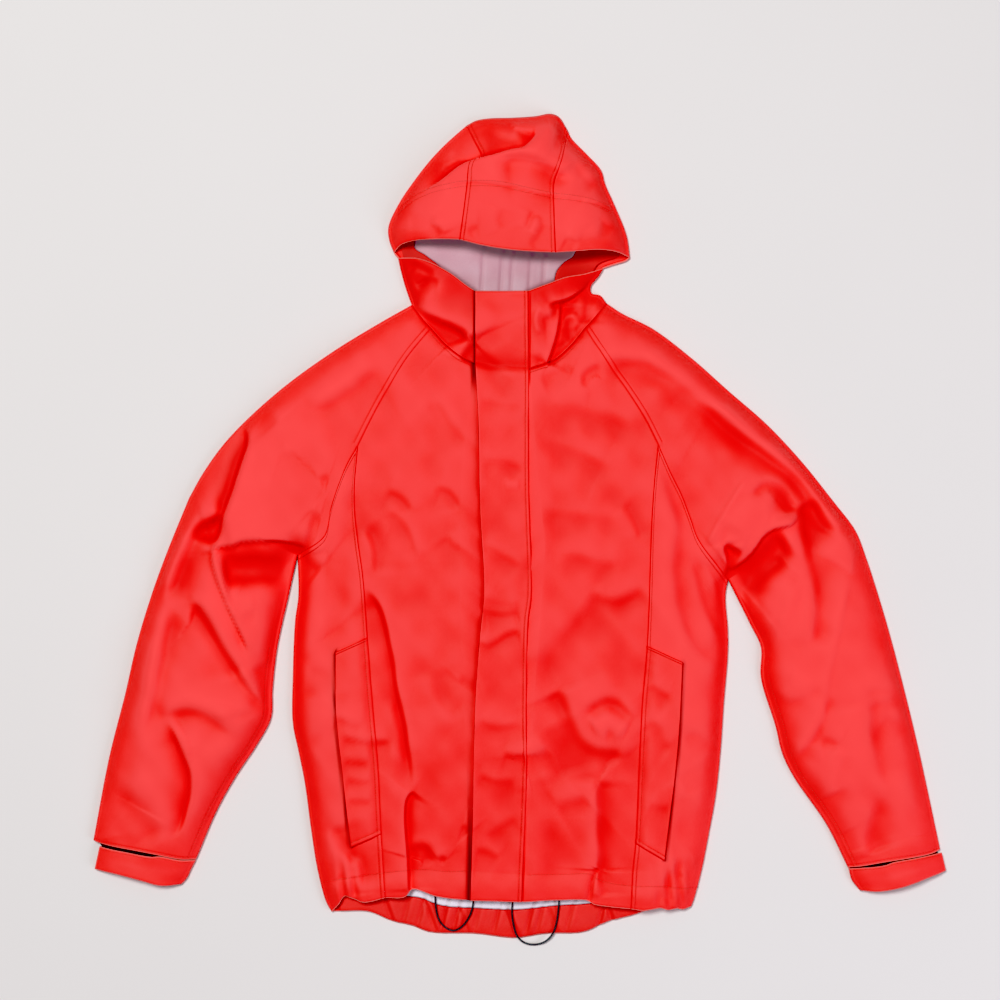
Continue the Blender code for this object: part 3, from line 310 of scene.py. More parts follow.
def smooth(points: Curve, steps: int = 10) -> np.ndarray:
    """Rounds a run.

    Args:
        points: the points that the curve goes through.
        steps: how many pieces each stretch between two points is cut into.

    Returns:
        A close run of points along the curve.
    """
    knots = np.array(points, float)
    if len(knots) == 2:
        return knots
    knots = np.vstack([2 * knots[0] - knots[1], knots, 2 * knots[-1] - knots[-2]])
    times = np.concatenate([[0], np.cumsum(np.sqrt(np.linalg.norm(np.diff(knots, axis=0), axis=1)))])
    run = [knots[1]]
    for k in range(1, len(knots) - 2):
        t0, t1, t2, t3 = times[k - 1 : k + 3]
        for t in np.linspace(t1, t2, steps + 1)[1:]:
            a = [
                ((hi - t) * knots[k + n - 1] + (t - lo) * knots[k + n]) / (hi - lo)
                for n, (lo, hi) in enumerate(((t0, t1), (t1, t2), (t2, t3)))
            ]
            b = [((t2 - t) * a[0] + (t - t0) * a[1]) / (t2 - t0), ((t3 - t) * a[1] + (t - t1) * a[2]) / (t3 - t1)]
            run.append(((t2 - t) * b[0] + (t - t1) * b[1]) / (t2 - t1))
    return np.array(run)


def lengths_along(run: np.ndarray) -> np.ndarray:
    """How far along the run each of its points lies."""
    return np.concatenate([[0], np.cumsum(np.linalg.norm(np.diff(run, axis=0), axis=1))])


def on_run(run: np.ndarray, shares: np.ndarray) -> np.ndarray:
    """The places on a run of points at the given shares of its length."""
    lengths = lengths_along(run)
    return np.column_stack([np.interp(shares * lengths[-1], lengths, run[:, axis]) for axis in range(run.shape[1])])


def at_shares(points: Curve, shares: np.ndarray) -> np.ndarray:
    """The places on the rounded curve at the given shares of its length."""
    return on_run(smooth(points), shares)


def between(start: np.ndarray, end: np.ndarray, shares: np.ndarray) -> np.ndarray:
    """The places on the straight line between two points, at the given shares of its length."""
    return start + shares[:, None] * (end - start)


def along(points: Curve, count: int) -> np.ndarray:
    """count + 1 points, evenly spaced along the rounded curve."""
    return at_shares(points, np.linspace(0, 1, count + 1))


def split(points: Curve, *places: Pair) -> list[np.ndarray]:
    """The parts of a curve before, between and after the given places on it."""
    run = smooth(points)
    cuts = [0] + [int(np.argmin(np.linalg.norm(run - place, axis=1))) for place in places] + [len(run) - 1]
    return [run[first : last + 1] for first, last in zip(cuts[:-1], cuts[1:])]


def joined(*runs: np.ndarray) -> np.ndarray:
    """Runs that meet end to end, as one."""
    return np.vstack([runs[0]] + [run[1:] for run in runs[1:]])


def crowded(count: int, first: bool = True, last: bool = True, pull: float = 0.72) -> np.ndarray:
    """Shares of a length that lie closer together towards its ends.

    Args:
        count: how many steps there are.
        first: whether they crowd at the start.
        last: whether they crowd at the end.
        pull: how strongly, from 0 to 1.

    Returns:
        count + 1 shares from 0 to 1.
    """
    t = np.linspace(0, 1, count + 1)
    if first and last:
        return t - pull * np.sin(2 * np.pi * t) / (2 * np.pi)
    if first:
        return t - pull * np.sin(np.pi * t) / np.pi
    if last:
        return t + pull * np.sin(np.pi * t) / np.pi
    return t


def ramp(values: np.ndarray, start: float, end: float) -> np.ndarray:
    """0 before the start and 1 past the end, with a soft rise between them."""
    share = np.clip((values - start) / (end - start), 0, 1)
    return share * share * (3 - 2 * share)


def bell(distance: np.ndarray, reach: float) -> np.ndarray:
    """1 at no distance, with a soft fall over the reach."""
    return np.exp(-((distance / reach) ** 2))


def over(height: Height, lift: float) -> Height:
    """A height that keeps the given distance over another one."""
    return lambda points: height(points) + lift


@dataclass
class Nearest:
    """Where points lie beside a run: the distance to it, the share of its length and the side."""

    distance: np.ndarray
    share: np.ndarray
    left: np.ndarray

    @classmethod
    def to(cls, points: np.ndarray, run: np.ndarray) -> Nearest:
        """Measures every point against every stretch of the run."""
        lengths = lengths_along(run)
        best = cls(np.full(len(points), np.inf), np.zeros(len(points)), np.zeros(len(points)))
        for k, (start, end) in enumerate(zip(run[:-1], run[1:])):
            way = end - start
            size = max(float(way @ way), 1e-9)
            off = points - start
            share = np.clip(off @ way / size, 0, 1)
            distance = np.linalg.norm(off - share[:, None] * way, axis=1)
            closer = distance < best.distance
            best.distance[closer] = distance[closer]
            best.share[closer] = (lengths[k] + share[closer] * math.sqrt(size)) / lengths[-1]
            best.left[closer] = np.sign(way[0] * off[closer, 1] - way[1] * off[closer, 0])
        return best


def inside(points: np.ndarray, outline: np.ndarray) -> np.ndarray:
    """Whether each point is inside the closed outline."""
    odd = np.zeros(len(points), bool)
    for (x0, y0), (x1, y1) in zip(outline, np.roll(outline, -1, axis=0)):
        if y0 == y1:
            continue
        crosses = (points[:, 1] > y0) != (points[:, 1] > y1)
        odd ^= crosses & (points[:, 0] < x0 + (points[:, 1] - y0) * (x1 - x0) / (y1 - y0))
    return odd


# ---------------------------------------------------------------- the lie of the cloth


class DepthMap:
    """How far inside one folded edge each place lies, kept on a fine lattice and read off between its points."""

    STEP = 3.0
    LOW = np.array([-560.0, -540.0])
    HIGH = np.array([560.0, 545.0])

    def __init__(self, run: np.ndarray, beyond: Curve = ()) -> None:
        """Measures the lattice.

        Args:
            run: the folded edge.
            beyond: corners that close the run into an outline of what isn't cloth.
        """
        self.size = np.ceil((self.HIGH - self.LOW) / self.STEP).astype(int) + 1
        x, y = np.meshgrid(*(self.LOW[k] + self.STEP * np.arange(self.size[k]) for k in (0, 1)), indexing="ij")
        lattice = np.column_stack([x.ravel(), y.ravel()])
        outline = np.vstack([run, np.array(beyond)]) if len(beyond) else run
        sign = np.where(inside(lattice, outline), -1, 1)
        self.values = (Nearest.to(lattice, run).distance * sign).reshape(self.size)

    def depth(self, points: np.ndarray) -> np.ndarray:
        """The depth at each point, negative beyond the edge."""
        place = np.clip((points - self.LOW) / self.STEP, 0, self.size - 1.001)
        cell = place.astype(int)
        u, v = (place - cell).T
        i, j = cell.T
        low = self.values[i, j] * (1 - u) + self.values[i + 1, j] * u
        high = self.values[i, j + 1] * (1 - u) + self.values[i + 1, j + 1] * u
        return low * (1 - v) + high * v


def fold_height(depth: np.ndarray, turn: int) -> np.ndarray:
    """The height of the turn of a folded edge, over its middle (turn 1) or under it (turn -1)."""
    inner = np.clip(np.abs(depth), 0, FOLD)
    return FOLD + turn * np.sign(depth) * np.sqrt(FOLD**2 - (FOLD - inner) ** 2)


def lift_of(folds: Sequence[Fold], points: np.ndarray) -> np.ndarray:
    """The height that the folds add at each point."""
    return np.sum([fold.lift(points) for fold in folds], axis=0)


def drift(points: np.ndarray, wave: float, seed: float) -> np.ndarray:
    """A gentle unevenness between -1 and 1.

    Args:
        points: the places to read it at.
        wave: the distance over which it changes.
        seed: turns the pattern to another one.

    Returns:
        A value for each point.
    """
    total = np.zeros(len(points))
    for k in range(6):
        angle = GOLDEN_ANGLE * (k + seed)
        way = np.array([math.cos(angle), math.sin(angle)])
        size = wave * (0.7 + 0.13 * k)
        total += np.sin(2 * np.pi * (points @ way) / size + 1.7 * k * k + 3.1 * seed)
    return total / 3.2


RIGHT_SLEEVE_FOLDS = [
    Fold([(-350, 136), (-342, 116), (-341, 103), (-350, 74), (-358, 47), (-366, 24), (-373, 4), (-377, -12),
        (-382, -28)], (1, 30), (-15, 34), blur=2.6, ends=(0.15, 0.1)),
    crease(15, 8, [(-366, 14), (-378, 10), (-394, 4), (-409, -10), (-420, -31), (-429, -52), (-438, -76),
        (-449, -88)], (0.12, 0.2)),
    crease(9, 8, [(-436, -90), (-441, -121), (-447, -150), (-452, -176), (-456, -202), (-463, -232), (-471, -266)]),
    Fold([(-384, -30), (-375, -27), (-358, -25), (-350, -21), (-340, -19.5), (-318, -18.5), (-300, -19), (-283, -22),
        (-266, -27)], (6, 40), (-4, 60), blur=1.0, ends=(0.05, 0.08)),
    trough(13, 21, [(-372, -60), (-350, -57), (-320, -54), (-296, -56), (-280, -60)], 2, (0.1, 0.05)),
    Fold([(-384, -28), (-383, -47), (-378, -65), (-372, -80), (-365, -97), (-357, -115), (-350, -130), (-342, -147),
        (-335, -166)], (4, 22), (-3.5, 14), blur=1.2, ends=(0.05, 0.2)),
    crease(3, 5, [(-368, -92), (-360, -88), (-352, -90)]),
    crease(3, 5, [(-345, -118), (-338, -108), (-328, -106)]),
    crease(10, 5, [(-415, -97), (-404, -98), (-397, -104), (-388, -117), (-380, -132), (-370, -150), (-360, -166),
        (-350, -182), (-340, -197), (-330, -212), (-318, -230)], (0.1, 0.1)),
    crease(9, 12, [(-336, -172), (-328, -200), (-320, -232)]),
    crease(9, 9, [(-444, -242), (-430, -231), (-408, -228), (-385, -236), (-366, -252), (-352, -268)], (0.2, 0.3)),
    Fold([(-440, -240), (-430, -262), (-420, -285), (-412, -308), (-412, -335), (-417, -356), (-424, -378),
        (-434, -392)], (2, 40), (-8, 26), blur=2.2, ends=(0.2, 0.25)),
    crease(7, 15, [(-508, -318), (-496, -326), (-481, -337), (-466, -352), (-452, -369), (-438, -388)], (0.3, 0.2)),
    crease(7, 11, [(-170, 202), (-190, 190), (-212, 173), (-235, 157), (-264, 141)]),
    crease(3, 7, [(-322, 146), (-312, 141), (-300, 128)]),
    crease(2, 7, [(-300, 92), (-290, 90), (-282, 96)]),
    crease(2.5, 5, [(-252, 58), (-244, 62), (-236, 60)]),
    crease(2.5, 6, [(-262, 22), (-252, 14), (-246, 12)]),
    crease(6, 7, [(-272, -36), (-258, -45), (-246, -54)]),
    crease(2, 2, [(-264, -34), (-250, -32), (-240, -26)]),
]
LEFT_SLEEVE_FOLDS = [
    crease(8, 10, [(92, 206), (130, 206), (160, 203), (185, 190), (205, 175), (228, 157)]),
    Fold([(205, 166), (218, 156), (240, 145), (258, 131), (280, 112), (303, 96), (327, 78), (350, 57), (370, 29),
        (386, 4), (404, -18)], (8, 22), (-12, 30), 1.2, 8.0, ends=(0.2, 0.12)),
    Fold([(419, -10), (416, -30), (412, -50), (408, -58)], (3.5, 6), (3.5, 26), ends=(0.1, 0.1)),
    Fold([(412, -55), (406, -90), (398, -128), (388, -170), (381, -205), (374, -240)], (0.5, 26), (3.2, 22), blur=3,
        ends=(0.2, 0.3)),
    crease(7, 6, [(282, 34), (292, 46), (302, 53), (315, 54), (325, 50), (334, 41), (341, 30), (348, 18)],
        (0.2, 0.1)),
    Fold([(285, 60), (276, 50), (268, 38), (258, 22), (248, 5), (240, -10), (232, -26)], (4, 10), (4, 4)),
    trough(-4, 16, [(262, -10), (280, 12), (300, 28), (322, 30)], 2),
    crease(9, 8, [(344, 28), (349, 10), (353, -10), (358, -40), (364, -65), (366, -85), (366, -105), (365, -125),
        (362, -152)], (0.08, 0.12)),
    Fold([(262, -57), (272, -49), (285, -38), (295, -25), (303, -13), (312, -6), (325, -2), (338, 2), (348, 14)],
        (5, 22), (-4, 55), blur=1.0, ends=(0.04, 0.15)),
    trough(13, 20, [(268, -80), (290, -64), (308, -46), (322, -33), (340, -20)], 2, (0.05, 0.2)),
    crease(9, 2.2, [(254, -20), (258, -38), (259.5, -60), (260, -70)], (0.1, 0.1)),
    crease(8, 2.2, [(252, -24), (264, -27), (278, -33)]),
    crease(4, 4, [(316, -37), (328, -45), (338, -55), (352, -68)]),
    Fold([(356, -71), (346, -80), (338, -95), (330, -110), (322, -130), (315, -150), (310, -170), (307, -192)],
        (3.5, 14), (3.5, 20), blur=3),
    crease(3, 7, [(291, -72), (292, -100), (296, -122)]),
    crease(3.5, 7, [(316, -202), (325, -213), (338, -217), (350, -212), (362, -203), (372, -194)]),
    crease(5, 5, [(384, -205), (378, -232), (370, -252), (360, -268), (350, -281), (341, -296)]),
    Fold([(398, -274), (394, -292), (390, -306), (387, -322), (393, -337)], (3, 10), (3, 28), blur=3),
    crease(3, 6, [(374, -266), (386, -266), (398, -272)]),
    crease(6, 9, [(431, -216), (435, -235), (437, -255), (440, -275), (444, -295), (451, -313), (466, -334)],
        (0.1, 0.25)),
    crease(2.5, 5, [(426, -205), (440, -201), (455, -200), (468, -206), (479, -216), (485, -226)]),
    crease(2.5, 6, [(454, -231), (466, -238), (478, -243), (489, -256)]),
    crease(5, 8, [(441, -336), (438, -358), (434, -375), (431, -388), (434, -402), (438, -413)], (0.3, 0.1)),
    crease(3, 5, [(396, -386), (405, -400), (411, -413)]),
]
BODY_FOLDS = [
    # the wearer's right
    crease(5.0, 11.7, [(-208, 74), (-215, 36), (-222, 3), (-227, -30), (-230, -60), (-230, -88), (-238, -115),
        (-250, -138), (-267, -158)], (0.2, 0.15)),
    crease(2.6, 7, [(-262, -170), (-267, -190), (-271, -218)]),
    crease(2.6, 7, [(-269, -272), (-252, -258), (-238, -245), (-232, -230)]),
    crease(5.0, 5.9, [(-238, -374), (-232, -390), (-225, -403), (-213, -415), (-203, -423), (-201, -440),
        (-197, -456)], (0.15, 0.2)),
    Fold([(-193, -79), (-183, -89), (-174, -103), (-168, -122), (-163, -145), (-158, -170), (-155, -195),
        (-151, -215), (-147, -232), (-143, -250), (-140, -275), (-136, -300), (-134, -332)], (1, 12), (-6, 34), 1.0,
        2.4, ends=(0.1, 0.25)),
    crease(2.6, 5, [(-158, -212), (-156, -238), (-150, -262), (-146, -300)]),
    Fold([(-134, -330), (-141, -341), (-143, -358), (-142, -385), (-140, -410), (-139, -428), (-138, -456)], (-7, 10),
        (2, 22), blur=1.3, ends=(0.04, 0.04)),
    crease(5.0, 5.9, [(-139, -414), (-135, -402), (-126, -398), (-116, -401), (-110, -410), (-105, -421)],
        (0.05, 0.2)),
    crease(2.3, 3, [(-103, -417), (-97, -413), (-91, -417)]),
    crease(2.6, 9, [(-113, -178), (-106, -200), (-97, -222), (-86, -235), (-76, -244)]),
    crease(2.3, 5, [(-78, -196), (-66, -184), (-54, -178)]),
    crease(2.3, 4, [(-74, -373), (-66, -376), (-60, -382)]),
    crease(2.9, 7, [(-114, 162), (-98, 147), (-86, 128), (-74, 112), (-64, 96)]),
    crease(2.3, 4, [(-168, 46), (-150, 38), (-140, 28), (-134, 16)]),
    crease(2.3, 4, [(-106, 50), (-88, 43), (-79, 32), (-75, 20)]),
    crease(2.3, 5, [(-172, 15), (-155, 14), (-144, 3), (-134, -16), (-128, -44)]),
    crease(2.6, 5, [(-92, -10), (-83, -22), (-70, -28), (-60, -33)]),
    crease(3.6, 5.2, [(-196, -2), (-188, -14), (-183, -30), (-181, -62)]),
    # the wearer's left
    crease(5.0, 13.0, [(26, 168), (46, 151), (75, 146), (100, 139), (126, 132), (152, 116)]),
    crease(2.3, 8, [(18, 111), (50, 100), (75, 90), (100, 80), (122, 64)]),
    crease(2.3, 8, [(22, 21), (60, 15), (90, 12), (128, 8)]),
    crease(2.6, 7, [(48, -34), (75, -38), (100, -45), (124, -49)]),
    crease(4.3, 6.5, [(86, -79), (104, -90), (120, -92), (135, -86), (152, -73)]),
    crease(4.3, 11.7, [(98, -90), (75, -110), (50, -135), (30, -158), (10, -172)]),
    crease(2.3, 4, [(124, 26), (135, 14), (144, -4), (148, -18)]),
    crease(6.5, 7.8, [(49, -203), (58, -225), (65, -245), (75, -265), (90, -276), (105, -279), (118, -281),
        (128, -292)], (0.06, 0.1)),
    crease(5.0, 6.5, [(76, -234), (90, -222), (105, -215), (120, -218), (133, -230), (147, -242)]),
    trough(-5, 13, [(88, -254), (110, -243), (134, -256)], 2),
    crease(3.6, 10.4, [(24, -252), (35, -275), (42, -295), (49, -318)]),
    crease(3.6, 9.1, [(42, -352), (58, -344), (70, -341), (80, -333)]),
    crease(6.5, 5.5, [(97, -314), (96, -335), (97, -360), (98, -385), (99, -410), (98, -430)], (0.1, 0.02)),
    Fold([(98, -428), (92, -440), (89, -456), (87, -468)], (-2, 6), (-6, 4), blur=0.8, ends=(0.02, 0.02)),
    crease(3.6, 3.4, [(98, -430), (100, -447), (101, -464)], (0.02, 0.2)),
    crease(3.6, 6.5, [(162, -238), (172, -251), (178, -267), (190, -276)]),
    crease(5.4, 7.8, [(172, 86), (178, 60), (188, 30), (195, 5), (194, -20), (192, -45), (193, -65), (196, -95),
        (202, -120), (210, -140), (219, -155), (232, -166), (246, -173)], (0.15, 0.08)),
    crease(4.3, 5.5, [(214, -36), (220, -62), (225, -85), (232, -105), (240, -122), (250, -137), (259, -147)]),
    crease(2.9, 4, [(228, -44), (240, -62), (249, -84), (254, -104)]),
    crease(2.9, 7, [(198, -259), (214, -255), (230, -262), (243, -276)]),
    crease(2.6, 5, [(194, -310), (203, -324), (210, -338)]),
    crease(3.6, 6.5, [(202, -408), (192, -425), (180, -441), (172, -460), (170, -476)]),
    crease(2.6, 5, [(227, -414), (214, -429), (207, -442)]),
    crease(2.6, 4, [(216, -449), (204, -464), (205, -478)]),
    # gathers at the right side's hem
    crease(2.9, 3, [(-236, -440), (-228, -452), (-224, -470), (-222, -482)]),
    crease(2.6, 3, [(-214, -437), (-212, -450), (-210, -464)]),
]
FLAP_FOLDS = [
    crease(2.2, 3.6, [(-49, -103), (-35, -107), (-20, -109), (-3, -105)], ends=(0.05, 0.05)),
    crease(2.2, 6, [(-49, -86), (-25, -96), (4, -97)]),
    crease(3, 3.4, [(-52, -142), (-42, -147), (-30, -142), (-15, -133), (0, -129)], ends=(0.1, 0.1)),
    crease(2.4, 5, [(-53, -238), (-36, -248), (-14, -248), (2, -244)]),
    crease(3, 4, [(-22, -281), (-8, -285), (6, -285)], ends=(0.25, 0.02)),
    crease(3.8, 7, [(8, -284), (22, -282), (36, -274)], ends=(0.02, 0.3)),
    crease(2.2, 5, [(-54, -308), (-30, -317), (-5, -317)]),
    crease(1.8, 5, [(-46, -388), (-22, -372), (-4, -361)]),
    crease(2.1, 5, [(-58, -402), (-42, -405), (-24, -414)]),
    crease(2, 5, [(-48, 82), (-26, 82), (-6, 76), (6, 68)]),
    trough(-1.6, 4, [(-20, 53), (0, 52)]),
    crease(2.2, 5, [(-48, -18), (-26, -34), (-6, -45), (4, -55)]),
    crease(1.7, 4, [(-50, 160), (-26, 152), (4, 150)]),
    crease(1.9, 7, [(-44, 224), (-34, 208), (-18, 188), (0, 178)]),
]
WELT_FOLDS = [
    crease(3.2, 4, [(-226, -261), (-206, -265), (-186, -268), (-158, -267)]),
    crease(2, 3, [(-222, -290), (-206, -293), (-186, -293)]),
    crease(2, 3, [(-219, -315), (-204, -317), (-184, -318)]),
    crease(1.6, 3, [(-216, -340), (-202, -342), (-184, -342)]),
    crease(2.2, 5, [(-228, -236), (-210, -246), (-196, -250)]),
    crease(2.2, 4, [(164, -195), (174, -206), (188, -212)]),
    crease(2, 5, [(160, -345), (172, -349), (186, -350)]),
]
COLLAR_FOLDS = [
    Fold([(-132, 268), (-111, 247), (-92, 226), (-73, 211), (-50, 200), (-20, 196), (11, 196), (42, 207), (62, 224),
        (81, 247), (104, 268)], (-7, 48), (-2.5, 22), blur=3, ends=(0.1, 0.1)),
    Fold([(-137, 281), (-120, 266), (-100, 256), (-84, 249), (-71, 241), (-65, 229)], (7, 26), (-6, 24), blur=4.5,
        ends=(0.15, 0.1)),
    crease(4.5, 4, [(-74, 205), (-69, 217), (-57, 229)], (0.1, 0.02)),
    crease(3.8, 4, [(-142, 328), (-138, 314), (-131, 302), (-124, 293)]),
    crease(3.4, 3, [(-130, 317), (-118, 309), (-100, 307)]),
    crease(3, 3, [(-138, 331), (-122, 323), (-106, 315)]),
    trough(-3, 5, [(-134, 322), (-128, 312), (-124, 304)]),
    Fold([(88, 304), (74, 292), (60, 283), (48, 279), (34, 276)], (-10, 15), (3, 14), blur=1.4, ends=(0.05, 0.2)),
    Fold([(51, 278), (50, 262), (47, 245), (43, 228), (38, 213), (33, 202)], (-6, 15), (4, 14), blur=0.9,
        ends=(0.05, 0.05)),
    crease(4.5, 5, [(82, 294), (81, 276), (78, 252)]),
    crease(3, 3, [(58, 264), (58, 245), (61, 226)]),
    crease(2.2, 2.2, [(66, 269), (72, 259), (77, 250)]),
    crease(2.2, 2.4, [(53, 250), (53, 236), (50, 222)]),
    crease(1.9, 2.4, [(69, 252), (70, 240), (74, 232)]),
    crease(3.4, 3, [(26, 260), (36, 262), (46, 272)]),
    trough(-2, 3, [(25, 238), (20, 254), (22, 266), (30, 274)]),
    crease(1.9, 4, [(16, 212), (27, 213), (35, 201)]),
    crease(3.8, 4, [(102, 203), (89, 198), (78, 189), (78, 176), (90, 172)]),
    crease(2.6, 6, [(22, 184), (45, 194), (62, 205)]),
]
FRONT_FOLDS = [*RIGHT_SLEEVE_FOLDS, *LEFT_SLEEVE_FOLDS, *BODY_FOLDS, *FLAP_FOLDS, *WELT_FOLDS, *COLLAR_FOLDS]
# wide dips in the cloth (or rises, if negative): the middle, the reach each way and the depth
BROAD_DIPS = [
    (-110, 215, 55, 45, 2.6), (-190, 165, 60, 40, 1.3), (-236, -70, 20, 75, 6.5), (-185, 60, 25, 60, 1.0),
    (-428, -85, 26, 55, 3.2), (-400, -170, 55, 50, 2.2), (-388, 52, 14, 36, 2.2), (-318, -135, 26, 45, -2.4),
    (-352, -318, 40, 50, -1.8), (-72, 476, 36, 24, 2.6), (-10, 492, 60, 16, 2.0), (112, 368, 24, 50, -2.0),
    (-24, 284, 40, 22, 3.0), (-90, 285, 40, 30, 3.0), (0, 175, 60, 25, 1.6), (-120, 345, 25, 12, 3.0),
    (165, 182, 25, 12, 2.0), (222, 155, 28, 14, 2.4), (285, 112, 32, 16, 2.6), (345, 60, 26, 20, 2.4),
    (349, -62, 14, 55, 4.6), (313, 45, 18, 18, -2.4), (462, -245, 34, 70, -2.6), (445, -400, 26, 22, 1.5),
    (-190, -370, 42, 42, -1.3), (40, -370, 34, 24, -1.6), (45, -258, 18, 24, -2.0), (150, -395, 42, 34, -1.6),
    (216, -50, 15, 60, 2.6), (190, -30, 13, 80, 1.6), (442, -300, 16, 60, 2.2), (-385, -200, 50, 24, 2.0),
    (-100, 190, 60, 30, 1.8), (-210, -235, 50, 24, 1.2), (-280, -60, 14, 20, 2.5), (60, 438, 16, 14, 2.0),
    (80, -315, 34, 14, 1.4), (-145, -310, 14, 18, 1.6), (170, -225, 22, 28, 1.6), (-270, -10, 30, 14, -2.0),
    (-268, 140, 34, 18, 2.0),
]
CROWN_FOLDS = [
    Fold([(-92, 421), (-78, 424), (-65, 426), (-40, 425), (-20, 423), (0, 419), (20, 413), (40, 411), (60, 407.5),
        (80, 406), (95, 403), (110, 396), (120, 388)], (1.8, 9), (-1.4, 6), blur=0.8, ends=(0.06, 0.06)),
    Fold([(-122, 416), (-102, 428), (-90, 438), (-80, 446), (-70, 452), (-50, 458), (-30, 463), (-10, 468), (5, 471),
        (12, 478), (18, 486), (20, 498)], (-11, 30), (4, 26), blur=1.3, ends=(0.2, 0.1)),
    crease(11, 9, [(-34, 456), (-10, 459), (15, 457), (36, 448), (54, 438), (72, 428)]),
    crease(5, 6, [(68, 457), (84, 437), (99, 426)]),
    Fold([(-8, 509), (20, 500), (50, 490)], (4, 11), (4, 20)),
    crease(3.5, 5, [(-84, 492), (-81, 476), (-89, 459)]),
    crease(4, 5, [(-100, 446), (-88, 449), (-71, 459)]),
    crease(4, 6, [(-37, 506), (-28, 491), (-15, 485), (2, 483)]),
    crease(3, 3, [(14, 392), (9, 379), (5, 366)]),
    crease(2.5, 4, [(29, 378), (24, 367), (17, 357), (9, 351)]),
    trough(-2.5, 4, [(22, 386), (17, 374), (11, 362)]),
    crease(5, 4, [(-112, 377), (-102, 370), (-97, 360)]),
    crease(3.5, 7, [(-138, 389), (-117, 386), (-104, 379)]),
    crease(3, 4, [(103, 382), (99, 368), (100, 357)]),
    crease(2.5, 4, [(56, 359), (64, 355), (73, 351)]),
    crease(2, 4, [(-66, 364), (-58, 370), (-50, 371)]),
    crease(2.2, 5, [(-24, 396), (-28, 380), (-22, 366)]),
    crease(2.6, 5, [(118, 372), (108, 378), (100, 388)]),
]


